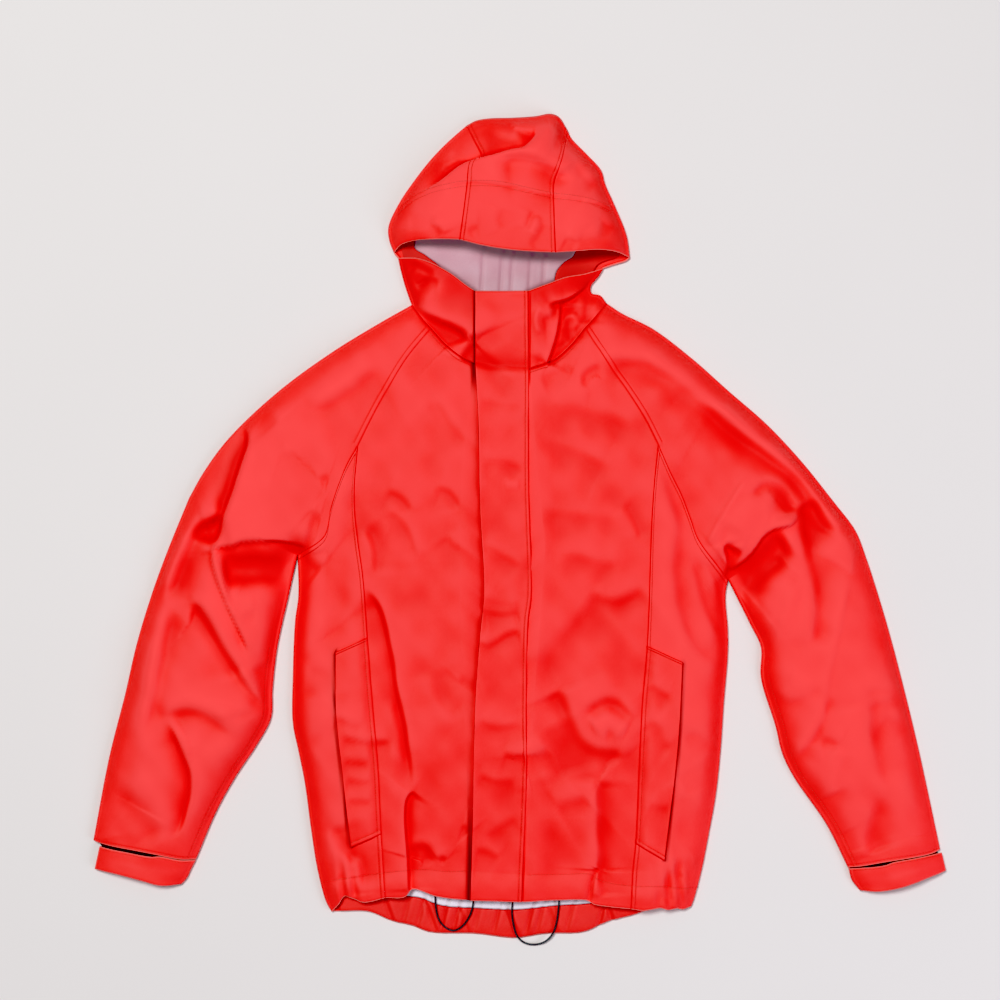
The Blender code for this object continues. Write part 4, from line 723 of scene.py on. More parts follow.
@dataclass
class Landscape:
    """The height of every layer of the coat over the surface that it lies on."""

    body_loft: float = 22.0
    loft_reach: float = 20.0
    fine_reach: float = 11.0
    hem_share: float = 0.6
    hood_loft: float = 36.0
    hood_reach: float = 26.0
    hood_fine_reach: float = 10.0
    wall: float = 1.5
    gap: float = 0.3
    lowest: float = 8.0
    hem_gathers: tuple[Pair, ...] = ((-215, 15), (194, 20))
    back_gathers: tuple[float, ...] = (-162, -145, -126, -112, -96, -80, -72, -54, -29, -12, 12, 25, 40, 62, 101, 114)
    lining_creases: tuple[float, ...] = (-46, -22, -9, 14, 31)
    front_maps: list[DepthMap] = field(default_factory=list)
    hood_map: DepthMap | None = None
    hood_back_map: DepthMap | None = None

    def survey(self) -> Landscape:
        """Measures the folded edges.

        Returns:
            The landscape itself, ready to be read.
        """
        for pattern in (RIGHT_PATTERN, LEFT_PATTERN):
            self.front_maps += [self.armpit_map(pattern), self.shoulder_map(pattern)]
        crown = joined(
            smooth(RIGHT_PATTERN.hood_fold, 6)[::-1], smooth(CENTRE.hood_top, 6), smooth(LEFT_PATTERN.hood_fold, 6)
        )
        sky = ((900, 276), (900, 900), (-900, 900), (-900, 276))
        self.hood_map = DepthMap(np.vstack([crown[0] + [4, -60], crown, crown[-1] + [-4, -60]]), sky)
        down = [joined(smooth(p.hood_corner, 6), smooth(p.collar_fold, 6)) for p in (RIGHT_PATTERN, LEFT_PATTERN)]
        self.hood_back_map = DepthMap(joined(down[0][::-1], crown, down[1]), sky)
        return self

    @staticmethod
    def armpit_map(pattern: SidePattern) -> DepthMap:
        """The gap between a sleeve and the body."""
        way = pattern.side.outward
        sleeve = joined(smooth(pattern.underarm_fold, 6), smooth(pattern.strap_fold, 6))[::-1]
        body = smooth(pattern.side_fold, 6)
        return DepthMap(np.vstack([sleeve[0] + [way * 12, -60], sleeve, body[1:], body[-1] + [way * -8, -60]]))

    @staticmethod
    def shoulder_map(pattern: SidePattern) -> DepthMap:
        """The outer edge of the collar, shoulder and sleeve."""
        way = pattern.side.outward
        parts = (pattern.collar_fold, pattern.shoulder_fold, pattern.sleeve_fold)
        run = joined(*(smooth(part, 6) for part in parts))
        strap = np.array(pattern.strap_end) + [way * 2, 0]
        low = strap[-1] + [way * 5, -60]
        return DepthMap(np.vstack([run[0] + [0, 60], run, strap, low]), ((way * 900, low[1]), (way * 900, 396)))

    def front(self, points: np.ndarray) -> np.ndarray:
        """The height of the coat's front, sleeves and collar."""
        depths = [depth_map.depth(points) for depth_map in self.front_maps]
        nearest = np.min(depths, axis=0)
        rises = [np.clip(depth - FOLD, 0, None) for depth in depths]
        swell = np.prod([1 - np.exp(-rise / self.loft_reach) for rise in rises], axis=0)
        fine = np.prod([1 - np.exp(-rise / self.fine_reach) for rise in rises], axis=0)
        loft = self.body_loft * (1 - (1 - self.hem_share) * ramp(points[:, 1], -230, -430))
        height = fold_height(nearest, 1) + loft * swell + lift_of(FRONT_FOLDS, points) * fine
        height += (1.1 * drift(points, 95, 0.3) + 0.5 * drift(points, 38, 4.2)) * fine
        height += (self.beside_flap(points) - self.wide_dips(points)) * fine
        # the front may sink no lower than the layers under it
        return np.maximum(height + self.hem_casing(points) * fine, np.where(nearest > FOLD, self.lowest, -FAR))

    @staticmethod
    def wide_dips(points: np.ndarray) -> np.ndarray:
        """How deep the cloth dips over wide stretches."""
        x, y = points.T
        depth = np.zeros(len(points))
        for middle_x, middle_y, reach_x, reach_y, fall in BROAD_DIPS:
            depth += fall * np.exp(-(((x - middle_x) / reach_x) ** 2) - ((y - middle_y) / reach_y) ** 2)
        return depth

    @staticmethod
    def beside_flap(points: np.ndarray) -> np.ndarray:
        """How far the left front stands up beside the seam of the flap."""
        x, y = points.T
        seam = smooth(LEFT_PATTERN.flap_edge)[::-1]
        away = x - np.interp(y, seam[:, 1], seam[:, 0])
        return 1.7 * ramp(away, 0.4, 2.4) * (1 - ramp(away, 8, 34)) * ramp(y, 300, 280)

    def hem_casing(self, points: np.ndarray) -> np.ndarray:
        """The puff of the casing round the front's hem, and the gathers that its cord draws up at the sides."""
        x, y = points.T
        line = np.interp(x, *np.array(CENTRE.hem_line_right + CENTRE.hem_line_left).T)
        below = (line - y) / 38
        puff = 1.5 * np.sin(np.pi * np.clip(below, 0, 1)) ** 0.8
        low = ramp(y, -395, -445)
        gathers = np.zeros(len(points))
        for middle, reach in self.hem_gathers:
            gathers += 2.0 * bell(x - middle, reach) * np.sin(2 * np.pi * (x + 0.1 * y) / 14.5 + 0.7)
        return puff + gathers * low

    def crown(self, points: np.ndarray) -> np.ndarray:
        """The height of the hood's crown, above its face opening."""
        depth = self.hood_map.depth(points)
        rise = np.clip(depth - FOLD, 0, None)
        swell = 1 - np.exp(-rise / self.hood_reach)
        fine = 1 - np.exp(-rise / self.hood_fine_reach)
        height = fold_height(depth, 1) + self.hood_loft * swell
        return height + (lift_of(CROWN_FOLDS, points) + 0.7 * drift(points, 60, 2.4) - self.wide_dips(points)) * fine

    def back(self, points: np.ndarray) -> np.ndarray:
        """The height of the back, which lies on the surface but for its folded edges."""
        return fold_height(np.min([depth_map.depth(points) for depth_map in self.front_maps], axis=0), -1)

    def hood_back(self, points: np.ndarray) -> np.ndarray:
        """The height of the back of the hood and collar."""
        return fold_height(self.hood_back_map.depth(points), -1)

    def casing(self, points: np.ndarray) -> np.ndarray:
        """The top of the gathered casing inside the back hem, and of the lining sewn to it."""
        x, y = points.T
        folds = np.zeros(len(points))
        for k, place in enumerate(self.back_gathers):
            aside = x - place - (0.25 if k % 3 else -0.35) * (y + 490)
            folds += (0.75 + 0.25 * np.sin(5.1 * k)) * (bell(aside, 2.4) - 0.6 * bell(aside - 6, 3.4))
        full = ramp(y, -425, -470) * (1 - 0.75 * ramp(y, -500, -519))
        return 2 * self.wall + self.gap + 0.2 + 3.0 * (0.6 - 0.6 * np.clip(folds, -0.6, 1)) * full

    def hood_floor(self, points: np.ndarray) -> np.ndarray:
        """The top of the lining inside the back of the hood."""
        x, y = points.T
        pleats = 0.5 * np.sin(x / 7.5 + 1.5 * np.sin(y / 40)) * ramp(y, 350, 300) + 0.5 * drift(points, 45, 6.0)
        for place in self.lining_creases:
            pleats -= 1.3 * bell(x - place - 0.06 * (y - 340), 2.2) * ramp(y, 385, 330)
        return 2 * self.wall + self.gap + 1.3 + 0.6 * np.clip(pleats, -1.8, 2)


# ---------------------------------------------------------------- sheets of cloth


@dataclass
class Sheet:
    """A grid of points on one face of the cloth.

    Rows run down the garment and columns to the wearer's left. turn is 1 where the face looks up and -1 where it
    looks down. The marks say how far each point lies from the nearest seam and the nearest free edge or fold, where
    a painted highlight runs, how far from its seam the line of stitching runs, how deep in a raised edge's painted
    shade it is, and how much painted shade (painted light, if negative) is laid on it besides.
    """

    points: np.ndarray
    turn: int = 1
    marks: dict[str, np.ndarray] = field(default_factory=dict)

    @classmethod
    def lay(cls, top: np.ndarray, bottom: np.ndarray, left: np.ndarray, right: np.ndarray, height: Height,
            turn: int = 1, folds: str = "") -> Sheet:
        """Fills four edge curves with a grid, and lifts it.

        Args:
            top: the first row's places, one a column.
            bottom: the last row's places.
            left: the first column's places, one a row.
            right: the last column's places.
            height: gives the height at each place.
            turn: 1 for a face that looks up, -1 for one that looks down.
            folds: the names of the edges that lie on a folded edge.

        Returns:
            The sheet.
        """
        top, bottom = top.copy(), bottom.copy()
        top[0], top[-1], bottom[0], bottom[-1] = left[0], right[0], left[-1], right[-1]
        plan = cls.filled(top, bottom, left, right)
        z = height(plan.reshape(-1, 2)).reshape(plan.shape[:2])
        for edge in folds.split():
            z[cls.index(edge)] = FOLD
        far = {"seam_mm": FAR, "line_mm": -FAR, "rim_mm": FAR, "shade": 0.0, "painted_shade_and_light": 0.0}
        sheet = cls(np.dstack([plan, z]), turn, {mark: np.full(z.shape, value) for mark, value in far.items()})
        for edge in folds.split():
            sheet.marks["rim_mm"] = np.minimum(sheet.marks["rim_mm"], sheet.from_edge(edge))
        return sheet

    @staticmethod
    def index(edge: str) -> tuple:
        """The index of a named edge's points."""
        return {"top": np.s_[0, :], "bottom": np.s_[-1, :], "left": np.s_[:, 0], "right": np.s_[:, -1]}[edge]

    @staticmethod
    def filled(top: np.ndarray, bottom: np.ndarray, left: np.ndarray, right: np.ndarray) -> np.ndarray:
        """The plan grid that four edge curves carry."""

        def shares(run: np.ndarray) -> np.ndarray:
            """The share of the run's length at each of its points."""
            lengths = lengths_along(run)
            return lengths / lengths[-1] if lengths[-1] > 1e-6 else np.linspace(0, 1, len(run))

        across_top, across_bottom = shares(top), shares(bottom)
        if np.allclose(top[0], top[-1]):
            across_top = across_bottom
        down_left, down_right = shares(left), shares(right)
        mid_down = ((down_left + down_right) / 2)[:, None]
        mid_across = ((across_top + across_bottom) / 2)[None, :]
        u = ((1 - mid_down) * across_top + mid_down * across_bottom)[..., None]
        v = ((1 - mid_across) * down_left[:, None] + mid_across * down_right[:, None])[..., None]
        corners = (1 - u) * ((1 - v) * left[0] + v * left[-1]) + u * ((1 - v) * right[0] + v * right[-1])
        edges = (1 - v) * top[None, :] + v * bottom[None, :] + (1 - u) * left[:, None] + u * right[:, None]
        return edges - corners

    def from_edge(self, edge: str) -> np.ndarray:
        """How far each point lies from the named edge, along its row or column."""
        axis = 1 if edge in ("left", "right") else 0
        steps = np.linalg.norm(np.diff(self.points, axis=axis), axis=2)
        start = np.zeros_like(np.take(steps, [0], axis=axis))
        run = np.concatenate([start, np.cumsum(steps, axis=axis)], axis=axis)
        return np.take(run, [-1], axis=axis) - run if edge in ("right", "bottom") else run

    def hem(self, edges: str, depth: float = 1.0, reach: float = 1.6, lit: bool = True) -> Sheet:
        """Rolls the cloth in along free edges, and marks those that catch the light."""
        for edge in edges.split():
            away = self.from_edge(edge)
            self.points[..., 2] -= self.turn * depth * bell(away, reach)
            if lit:
                self.marks["rim_mm"] = np.minimum(self.marks["rim_mm"], away)
        return self

    def seam(self, edges: str, line: float = 0.0, rise: float = 0.55, depth: float = 0.3,
             rows: slice = slice(None)) -> Sheet:
        """Sews edges: the cloth turns in at each, and stands up between it and the line of stitching beside it.

        Args:
            edges: the names of the edges.
            line: how far from the edge the stitching runs, or 0 for none.
            rise: how far the cloth stands up between them.
            depth: how far it turns in at the edge.
            rows: the rows that the seam runs beside, where it ends short.

        Returns:
            The sheet itself.
        """
        for edge in edges.split():
            away = self.from_edge(edge)[rows]
            run = self.from_edge("top" if edge in ("left", "right") else "left")[rows]
            lift = -depth * bell(away, 1.3)
            if line:
                lift += rise * ramp(away, 0, 1.6) * (1 - ramp(away, line - 0.9, line + 0.5))
                lift -= 0.45 * bell(away - line, 0.8)
                pucker = 0.16 * np.sin(run / 2.3 + 2.3 * np.sin(run / 19)) * (0.5 + 0.5 * np.sin(run / 47 + 1))
                lift += pucker * bell(away, line + 4)
            self.points[rows, :, 2] += self.turn * lift
            nearer = away < self.marks["seam_mm"][rows]
            self.marks["line_mm"][rows] = np.where(nearer, line or -FAR, self.marks["line_mm"][rows])
            self.marks["seam_mm"][rows] = np.minimum(away, self.marks["seam_mm"][rows])
        return self

    def in_shade_of(self, run: np.ndarray, reach: float = 1.6) -> Sheet:
        """Marks the narrow strip beside a raised edge that lies over the sheet, which no light gets into."""
        shape = self.points.shape[:2]
        away = Nearest.to(self.points[..., :2].reshape(-1, 2), run).distance.reshape(shape)
        self.points[..., 2] -= self.turn * 1.2 * bell(away, reach)
        self.marks["shade"] = np.maximum(self.marks["shade"], bell(away, reach))
        return self

    def line_beside(self, edge: str, away: float, lift: float = 0.25) -> np.ndarray:
        """The run on the sheet that keeps the given distance from an edge."""
        distance = self.from_edge(edge)
        points, steps = self.points, distance
        if edge in ("top", "bottom"):
            points, steps = points.transpose(1, 0, 2), steps.T
        if edge in ("right", "bottom"):
            points, steps = points[:, ::-1], steps[:, ::-1]
        run = np.array([[np.interp(away, s, p[:, k]) for k in range(3)] for p, s in zip(points, steps)])
        run[:, 2] += self.turn * lift
        return run

    def painted_shade_measure(self) -> np.ndarray:
        """How far each point lies under the mean heights over three reaches, plus the sheet's own painted shade: the
        measure of painted shade in hollow places, and of painted light where it is negative.
        """
        z = self.points[..., 2] * self.turn
        total = np.zeros(z.shape)
        for cells, share in ((4, 0.9), (13, 0.55), (26, 0.4)):
            mean = z
            for axis in (0, 1, 0, 1):
                pad = [(cells + 1, cells) if k == axis else (0, 0) for k in (0, 1)]
                sums = np.cumsum(np.pad(mean, pad, mode="edge"), axis=axis)
                count = z.shape[axis]
                parts = [np.take(sums, np.arange(start, start + count), axis=axis) for start in (2 * cells + 1, 0)]
                mean = (parts[0] - parts[1]) / (2 * cells + 1)
            total += share * (mean - z)
        return total * ramp(self.marks["rim_mm"], 5, 32) + self.marks["painted_shade_and_light"]

    def area(self) -> float:
        """The area of the sheet, in square metres."""
        p = self.points
        across, down = p[:-1, 1:] - p[:-1, :-1], p[1:, :-1] - p[:-1, :-1]
        return float(np.linalg.norm(np.cross(across, down), axis=2).sum()) * METRE**2


def flat_cut(sheets: Sequence[Sheet]) -> Pair:
    """The rectangle of flat cloth that the sheets take side by side.

    Args:
        sheets: the sheets of one piece.

    Returns:
        The rectangle's width and length in metres.
    """
    spans = [[float(sheet.from_edge(edge).max()) * METRE for sheet in sheets] for edge in ("left", "top")]
    return sum(spans[0]), max(spans[1])


def facing(side: Side, top: np.ndarray, bottom: np.ndarray, outer: np.ndarray, inner: np.ndarray, height: Height,
           turn: int = 1, folds: str = "") -> Sheet:
    """Lays a sheet given from its outer edge to its inner one, on either side of the coat.

    Args:
        side: the side of the coat.
        top: the first row, from the outer edge inwards.
        bottom: the last row, from the outer edge inwards.
        outer: the edge away from the body's middle.
        inner: the edge towards it.
        height: gives the height at each place.
        turn: 1 for a face that looks up, -1 for one that looks down.
        folds: the edges on a fold, by the names outer, inner, top and bottom.

    Returns:
        The sheet.
    """
    folds = folds.replace("outer", side.outer).replace("inner", side.inner)
    if side is Side.RIGHT:
        return Sheet.lay(top, bottom, outer, inner, height, turn, folds)
    return Sheet.lay(top[::-1], bottom[::-1], inner, outer, height, turn, folds)


# ---------------------------------------------------------------- finishes


class Finish(Enum):
    """The coat's finishes, by the record's material slots."""

    CORAL = "coral_cloth"
    FACING = "inner_facing"
    TAPE = "zip_tape"
    LINING = "lining"
    CORD = "cord"


class Nodes:
    """A short way to lay nodes in a tree."""

    def __init__(self, tree: bpy.types.NodeTree) -> None:
        """Takes the tree that the nodes go in."""
        self.tree = tree

    def add(self, kind: str, settings: dict | None = None, **inputs: object) -> bpy.types.Node:
        """Adds a node.

        Args:
            kind: the node's type, without its Shader prefix.
            settings: values of the node itself.
            inputs: values of its sockets, or the sockets that feed them, with _ for a space.

        Returns:
            The node.
        """
        node = self.tree.nodes.new(kind if kind.startswith("Node") else f"ShaderNode{kind}")
        for key, value in (settings or {}).items():
            setattr(node, key, value)
        for key, value in inputs.items():
            name = int(key[1:]) if key[0] == "n" and key[1:].isdigit() else key.replace("_", " ")
            self.feed(node.inputs[name], value)
        return node

    def feed(self, socket: bpy.types.NodeSocket, value: object) -> None:
        """Sets a socket to a value, or links it to the socket that feeds it."""
        if isinstance(value, bpy.types.NodeSocket):
            self.tree.links.new(value, socket)
        else:
            socket.default_value = value

    def shade(self, **inputs: object) -> None:
        """Feeds the material's own shader, with _ for a space in its sockets' names."""
        shader = self.tree.nodes["Principled BSDF"]
        for key, value in inputs.items():
            self.feed(shader.inputs[key.replace("_", " ")], value)

    def math(self, operation: str, first: object, second: object = 0.0, clamp: bool = False) -> bpy.types.NodeSocket:
        """The output of a sum on two numbers or sockets."""
        return self.add("Math", {"operation": operation, "use_clamp": clamp}, n0=first, n1=second).outputs[0]

    def blend(self, share: object, first: object, second: object) -> bpy.types.NodeSocket:
        """A colour between two, at the given share."""
        node = self.add("Mix", {"data_type": "RGBA", "clamp_factor": True})
        for name, value in (("Factor", share), ("A", first), ("B", second)):
            self.feed(next(s for s in node.inputs if s.name == name and s.enabled), value)
        return next(s for s in node.outputs if s.enabled)


def begin_group(name: str, outputs: Sequence[str]) -> Nodes:
    """Begins a shader group with the given outputs."""
    tree = bpy.data.node_groups.new(name, "ShaderNodeTree")
    for output in outputs:
        tree.interface.new_socket(name=output, in_out="OUTPUT", socket_type="NodeSocketFloat")
    return Nodes(tree)


def begin_material(name: str) -> tuple[bpy.types.Material, Nodes]:
    """Begins a material, with its plain shader."""
    made = bpy.data.materials.new(name)
    made.use_nodes = True
    return made, Nodes(made.node_tree)


class WovenEffect:
    """A shader group for cloth: its weave and soft crinkle as a height, and the mottling of its colour."""

    def __init__(self) -> None:
        """Builds the group once."""
        nodes = begin_group("woven_cloth", ("Height", "Mottle", "Grain"))
        self.tree = nodes.tree
        for name in ("Thread", "Weave", "Crinkle", "Crinkle Scale"):
            self.tree.interface.new_socket(name=name, in_out="INPUT", socket_type="NodeSocketFloat")
        inlet, outlet = nodes.add("NodeGroupInput"), nodes.add("NodeGroupOutput")
        place = nodes.add("TexCoord").outputs["Object"]
        threads = [
            nodes.add("TexWave", {"bands_direction": way}, Vector=place, Scale=inlet.outputs["Thread"],
                      Distortion=0.6, Detail=0.0).outputs["Fac"]
            for way in ("X", "Y")
        ]
        weave = nodes.math("MULTIPLY", nodes.math("MULTIPLY", *threads), inlet.outputs["Weave"])
        wide = nodes.add("TexNoise", Vector=place, Scale=inlet.outputs["Crinkle Scale"], Detail=4.0, Roughness=0.55)
        crinkle = nodes.math("MULTIPLY", wide.outputs[0], inlet.outputs["Crinkle"])
        grain = nodes.add("TexNoise", Vector=place, Scale=900.0, Detail=2.0, Roughness=0.6).outputs[0]
        mottle = nodes.add("TexNoise", Vector=place, Scale=16.0, Detail=5.0, Roughness=0.62).outputs[0]
        for name, value in (("Height", nodes.math("ADD", weave, crinkle)), ("Mottle", mottle), ("Grain", grain)):
            nodes.feed(outlet.inputs[name], value)


class EdgeEffect:
    """A shader group for the sheets' marks: dark seams and stitching, painted highlights along edges, painted shade
    in strips and in hollow places, and painted light on rises.
    """

    def __init__(self) -> None:
        """Builds the group once."""
        nodes = begin_group("seams_and_edges", ("Dark", "Light", "Shade", "PaintedShadeAndLight"))
        self.tree = nodes.tree
        seam, line, rim, shade, hollow = (
            nodes.add("Attribute", {"attribute_name": mark}).outputs["Fac"] for mark in MARKS
        )
        grain = nodes.add("TexNoise", Vector=nodes.add("TexCoord").outputs["Object"], Scale=420.0).outputs[0]
        uneven = nodes.math("ADD", nodes.math("MULTIPLY", grain, 0.9), 0.55)
        from_line = nodes.math("ABSOLUTE", nodes.math("SUBTRACT", seam, line))
        stitched = nodes.math("MULTIPLY", self.near(nodes, from_line, 1.2), 0.9)
        dark = nodes.math("MAXIMUM", self.near(nodes, seam, 1.3), stitched)
        outlet = nodes.add("NodeGroupOutput")
        # a painted highlight along free edges and folds, beside the dark seams and stitching
        for name, value in (("Dark", dark), ("Light", self.near(nodes, rim, 1.3))):
            nodes.feed(outlet.inputs[name], nodes.math("MULTIPLY", value, uneven, clamp=True))
        nodes.feed(outlet.inputs["Shade"], nodes.math("MULTIPLY", shade, 0.9))
        # painted shade in hollow places, and painted light where the measure is negative
        nodes.feed(outlet.inputs["PaintedShadeAndLight"], hollow)

    @staticmethod
    def near(nodes: Nodes, distance: bpy.types.NodeSocket, reach: float) -> bpy.types.NodeSocket:
        """1 at no distance, falling to 0 at the reach."""
        return nodes.math("SUBTRACT", 1.0, nodes.math("DIVIDE", distance, reach), clamp=True)


Tone = tuple[float, float, float, float]


@dataclass(frozen=True)
class ClothLook:
    """How a cloth looks: its tones, its shine and the size of its weave."""

    name: str
    tone: Tone
    deep: Tone
    seam: Tone
    # edge is a painted highlight along free edges and folds
    edge: Tone
    # the next tone is painted shade in hollow places and the raised tone painted light on rises; shaded is painted
    # shade beside edges that stand over the cloth
    painted_hollow_shade: Tone
    raised: Tone
    shaded: Tone = (0.12, 0.003, 0.003, 1.0)
    # how strongly hollow places and rises are painted
    painted_hollow_share: float = 0.16
    roughness: float = 0.6
    sheen: float = 0.02
    sheen_tint: Tone = (1.0, 0.3, 0.25, 1.0)
    specular: float = 0.18
    thread: float = 350.0
    weave: float = 0.06
    crinkle: float = 0.22
    crinkle_scale: float = 60.0

    def material(self, effect: WovenEffect, edges: EdgeEffect) -> bpy.types.Material:
        """Makes the material.

        Args:
            effect: the group that gives the weave.
            edges: the group that gives the seams and edges.

        Returns:
            The material.
        """
        made, nodes = begin_material(self.name)
        made.diffuse_color = self.tone
        woven = nodes.add("Group", {"node_tree": effect.tree}, Thread=self.thread, Weave=self.weave,
                          Crinkle=self.crinkle, Crinkle_Scale=self.crinkle_scale)
        mottled = nodes.math("MULTIPLY", nodes.math("SUBTRACT", woven.outputs["Mottle"], 0.35), 2.6, clamp=True)
        grainy = nodes.math("MULTIPLY", nodes.math("SUBTRACT", woven.outputs["Grain"], 0.5), 1.4)
        colour = nodes.blend(nodes.math("ADD", mottled, grainy, clamp=True), self.deep, self.tone)
        lines = nodes.add("Group", {"node_tree": edges.tree})
        # painted shade in hollow places, painted light on rises, a painted highlight along edges, dark seams and
        # stitching, and painted shade beside edges that stand over the cloth, blended over its tone in turn
        painted_shade_mask = nodes.math("MULTIPLY", lines.outputs["PaintedShadeAndLight"], self.painted_hollow_share, clamp=True)
        raised = nodes.math("MULTIPLY", lines.outputs["PaintedShadeAndLight"], -self.painted_hollow_share, clamp=True)
        for share, tone in ((painted_shade_mask, self.painted_hollow_shade), (raised, self.raised), (lines.outputs["Light"], self.edge),
                            (lines.outputs["Dark"], self.seam), (lines.outputs["Shade"], self.shaded)):
            colour = nodes.blend(share, colour, tone)
        bump = nodes.add("Bump", Height=woven.outputs["Height"], Distance=METRE, Strength=1.0)
        rough = nodes.math("ADD", nodes.math("MULTIPLY", woven.outputs["Mottle"], 0.12), self.roughness - 0.06)
        nodes.shade(Base_Color=colour, Normal=bump.outputs["Normal"], Roughness=rough, Sheen_Weight=self.sheen,
                    Sheen_Roughness=0.5, Sheen_Tint=self.sheen_tint, Specular_IOR_Level=self.specular)
        return made


@dataclass(frozen=True)
class ThreadLook:
    """How sewing thread or cord looks: a twisted yarn of one tone."""

    name: str
    tone: Tone
    light: Tone
    roughness: float = 0.6
    twist: float = 900.0
    relief: float = 0.15

    def material(self) -> bpy.types.Material:
        """Makes the material."""
        made, nodes = begin_material(self.name)
        made.diffuse_color = self.tone
        place = nodes.add("TexCoord").outputs["Object"]
        twist = nodes.add("TexWave", {"bands_direction": "DIAGONAL"}, Vector=place, Scale=self.twist, Distortion=2.0)
        grain = nodes.add("TexNoise", Vector=place, Scale=1400.0, Detail=2.0).outputs[0]
        mixed = nodes.math("MULTIPLY", twist.outputs["Fac"], grain)
        bump = nodes.add("Bump", Height=nodes.math("MULTIPLY", mixed, self.relief), Distance=METRE, Strength=1.0)
        nodes.shade(Base_Color=nodes.blend(mixed, self.tone, self.light), Normal=bump.outputs["Normal"],
                    Roughness=self.roughness)
        return made


class Wardrobe:
    """Every material of the coat, made once."""

    def __init__(self) -> None:
        """Makes the shader group and the materials."""
        effect, edges = WovenEffect(), EdgeEffect()
        # in each look the edge tone is a painted highlight, the next tone painted shade in hollow places and the
        # raised tone painted light on rises
        looks = {
            Finish.CORAL: ClothLook(
                "coral_coated_cloth", tone=(0.94, 0.0380, 0.0365, 1), deep=(0.90, 0.033, 0.031, 1),
                seam=(0.83, 0.026, 0.024, 1), edge=(1.0, 0.20, 0.17, 1), painted_hollow_shade=(0.78, 0.017, 0.0165, 1),
                raised=(0.97, 0.052, 0.051, 1)),
            Finish.FACING: ClothLook(
                "inner_red_cloth", tone=(0.84, 0.036, 0.033, 1), deep=(0.76, 0.030, 0.028, 1),
                seam=(0.5, 0.012, 0.011, 1), edge=(1.0, 0.16, 0.14, 1), painted_hollow_shade=(0.60, 0.012, 0.011, 1),
                raised=(0.95, 0.05, 0.048, 1), roughness=0.55, crinkle=0.35),
            Finish.TAPE: ClothLook(
                "zip_tape_cloth", tone=(0.5, 0.02, 0.015, 1), deep=(0.42, 0.015, 0.012, 1),
                seam=(0.2, 0.006, 0.005, 1), edge=(0.6, 0.05, 0.04, 1), painted_hollow_shade=(0.3, 0.01, 0.008, 1),
                raised=(0.6, 0.03, 0.02, 1), weave=0.12, thread=260),
            # the lining's tone is pinkened with a painted reflection of the coral cloth round it, and its paler
            # raised tone is painted light
            Finish.LINING: ClothLook(
                "pale_lining_taffeta", tone=(0.57, 0.31, 0.38, 1), deep=(0.50, 0.25, 0.32, 1),
                seam=(0.22, 0.10, 0.13, 1), edge=(0.74, 0.62, 0.68, 1), painted_hollow_shade=(0.36, 0.16, 0.22, 1),
                raised=(0.82, 0.80, 0.90, 1), roughness=0.45, sheen=0.1, sheen_tint=(1, 1, 1, 1), specular=0.4,
                weave=0.03, thread=500, crinkle=0.3, crinkle_scale=85),
        }
        self.cloth = {finish: look.material(effect, edges) for finish, look in looks.items()}
        self.cloth[Finish.CORD] = ThreadLook(
            "black_cord", (0.008, 0.008, 0.011, 1), (0.05, 0.05, 0.06, 1), roughness=0.55, twist=420, relief=0.5
        ).material()
        self.thread = ThreadLook("coral_thread", (0.62, 0.022, 0.018, 1), (0.92, 0.06, 0.05, 1)).material()
        self.black_slit_strip = ThreadLook(
            "black_slit_cloth", (0.006, 0.006, 0.008, 1), (0.03, 0.03, 0.035, 1), roughness=0.9, twist=300, relief=0.4
        ).material()


# ---------------------------------------------------------------- pieces


def placed(name: str, data: bpy.types.ID) -> bpy.types.Object:
    """Puts an object in the scene."""
    made = bpy.data.objects.new(name, data)
    bpy.context.scene.collection.objects.link(made)
    return made


def thicken(made: bpy.types.Object, wall: float) -> None:
    """Gives sheets their wall, on the side away from the face that shows."""
    shell = made.modifiers.new("wall", "SOLIDIFY")
    shell.thickness = wall * METRE
    shell.offset = -1.0
    shell.use_even_offset = False


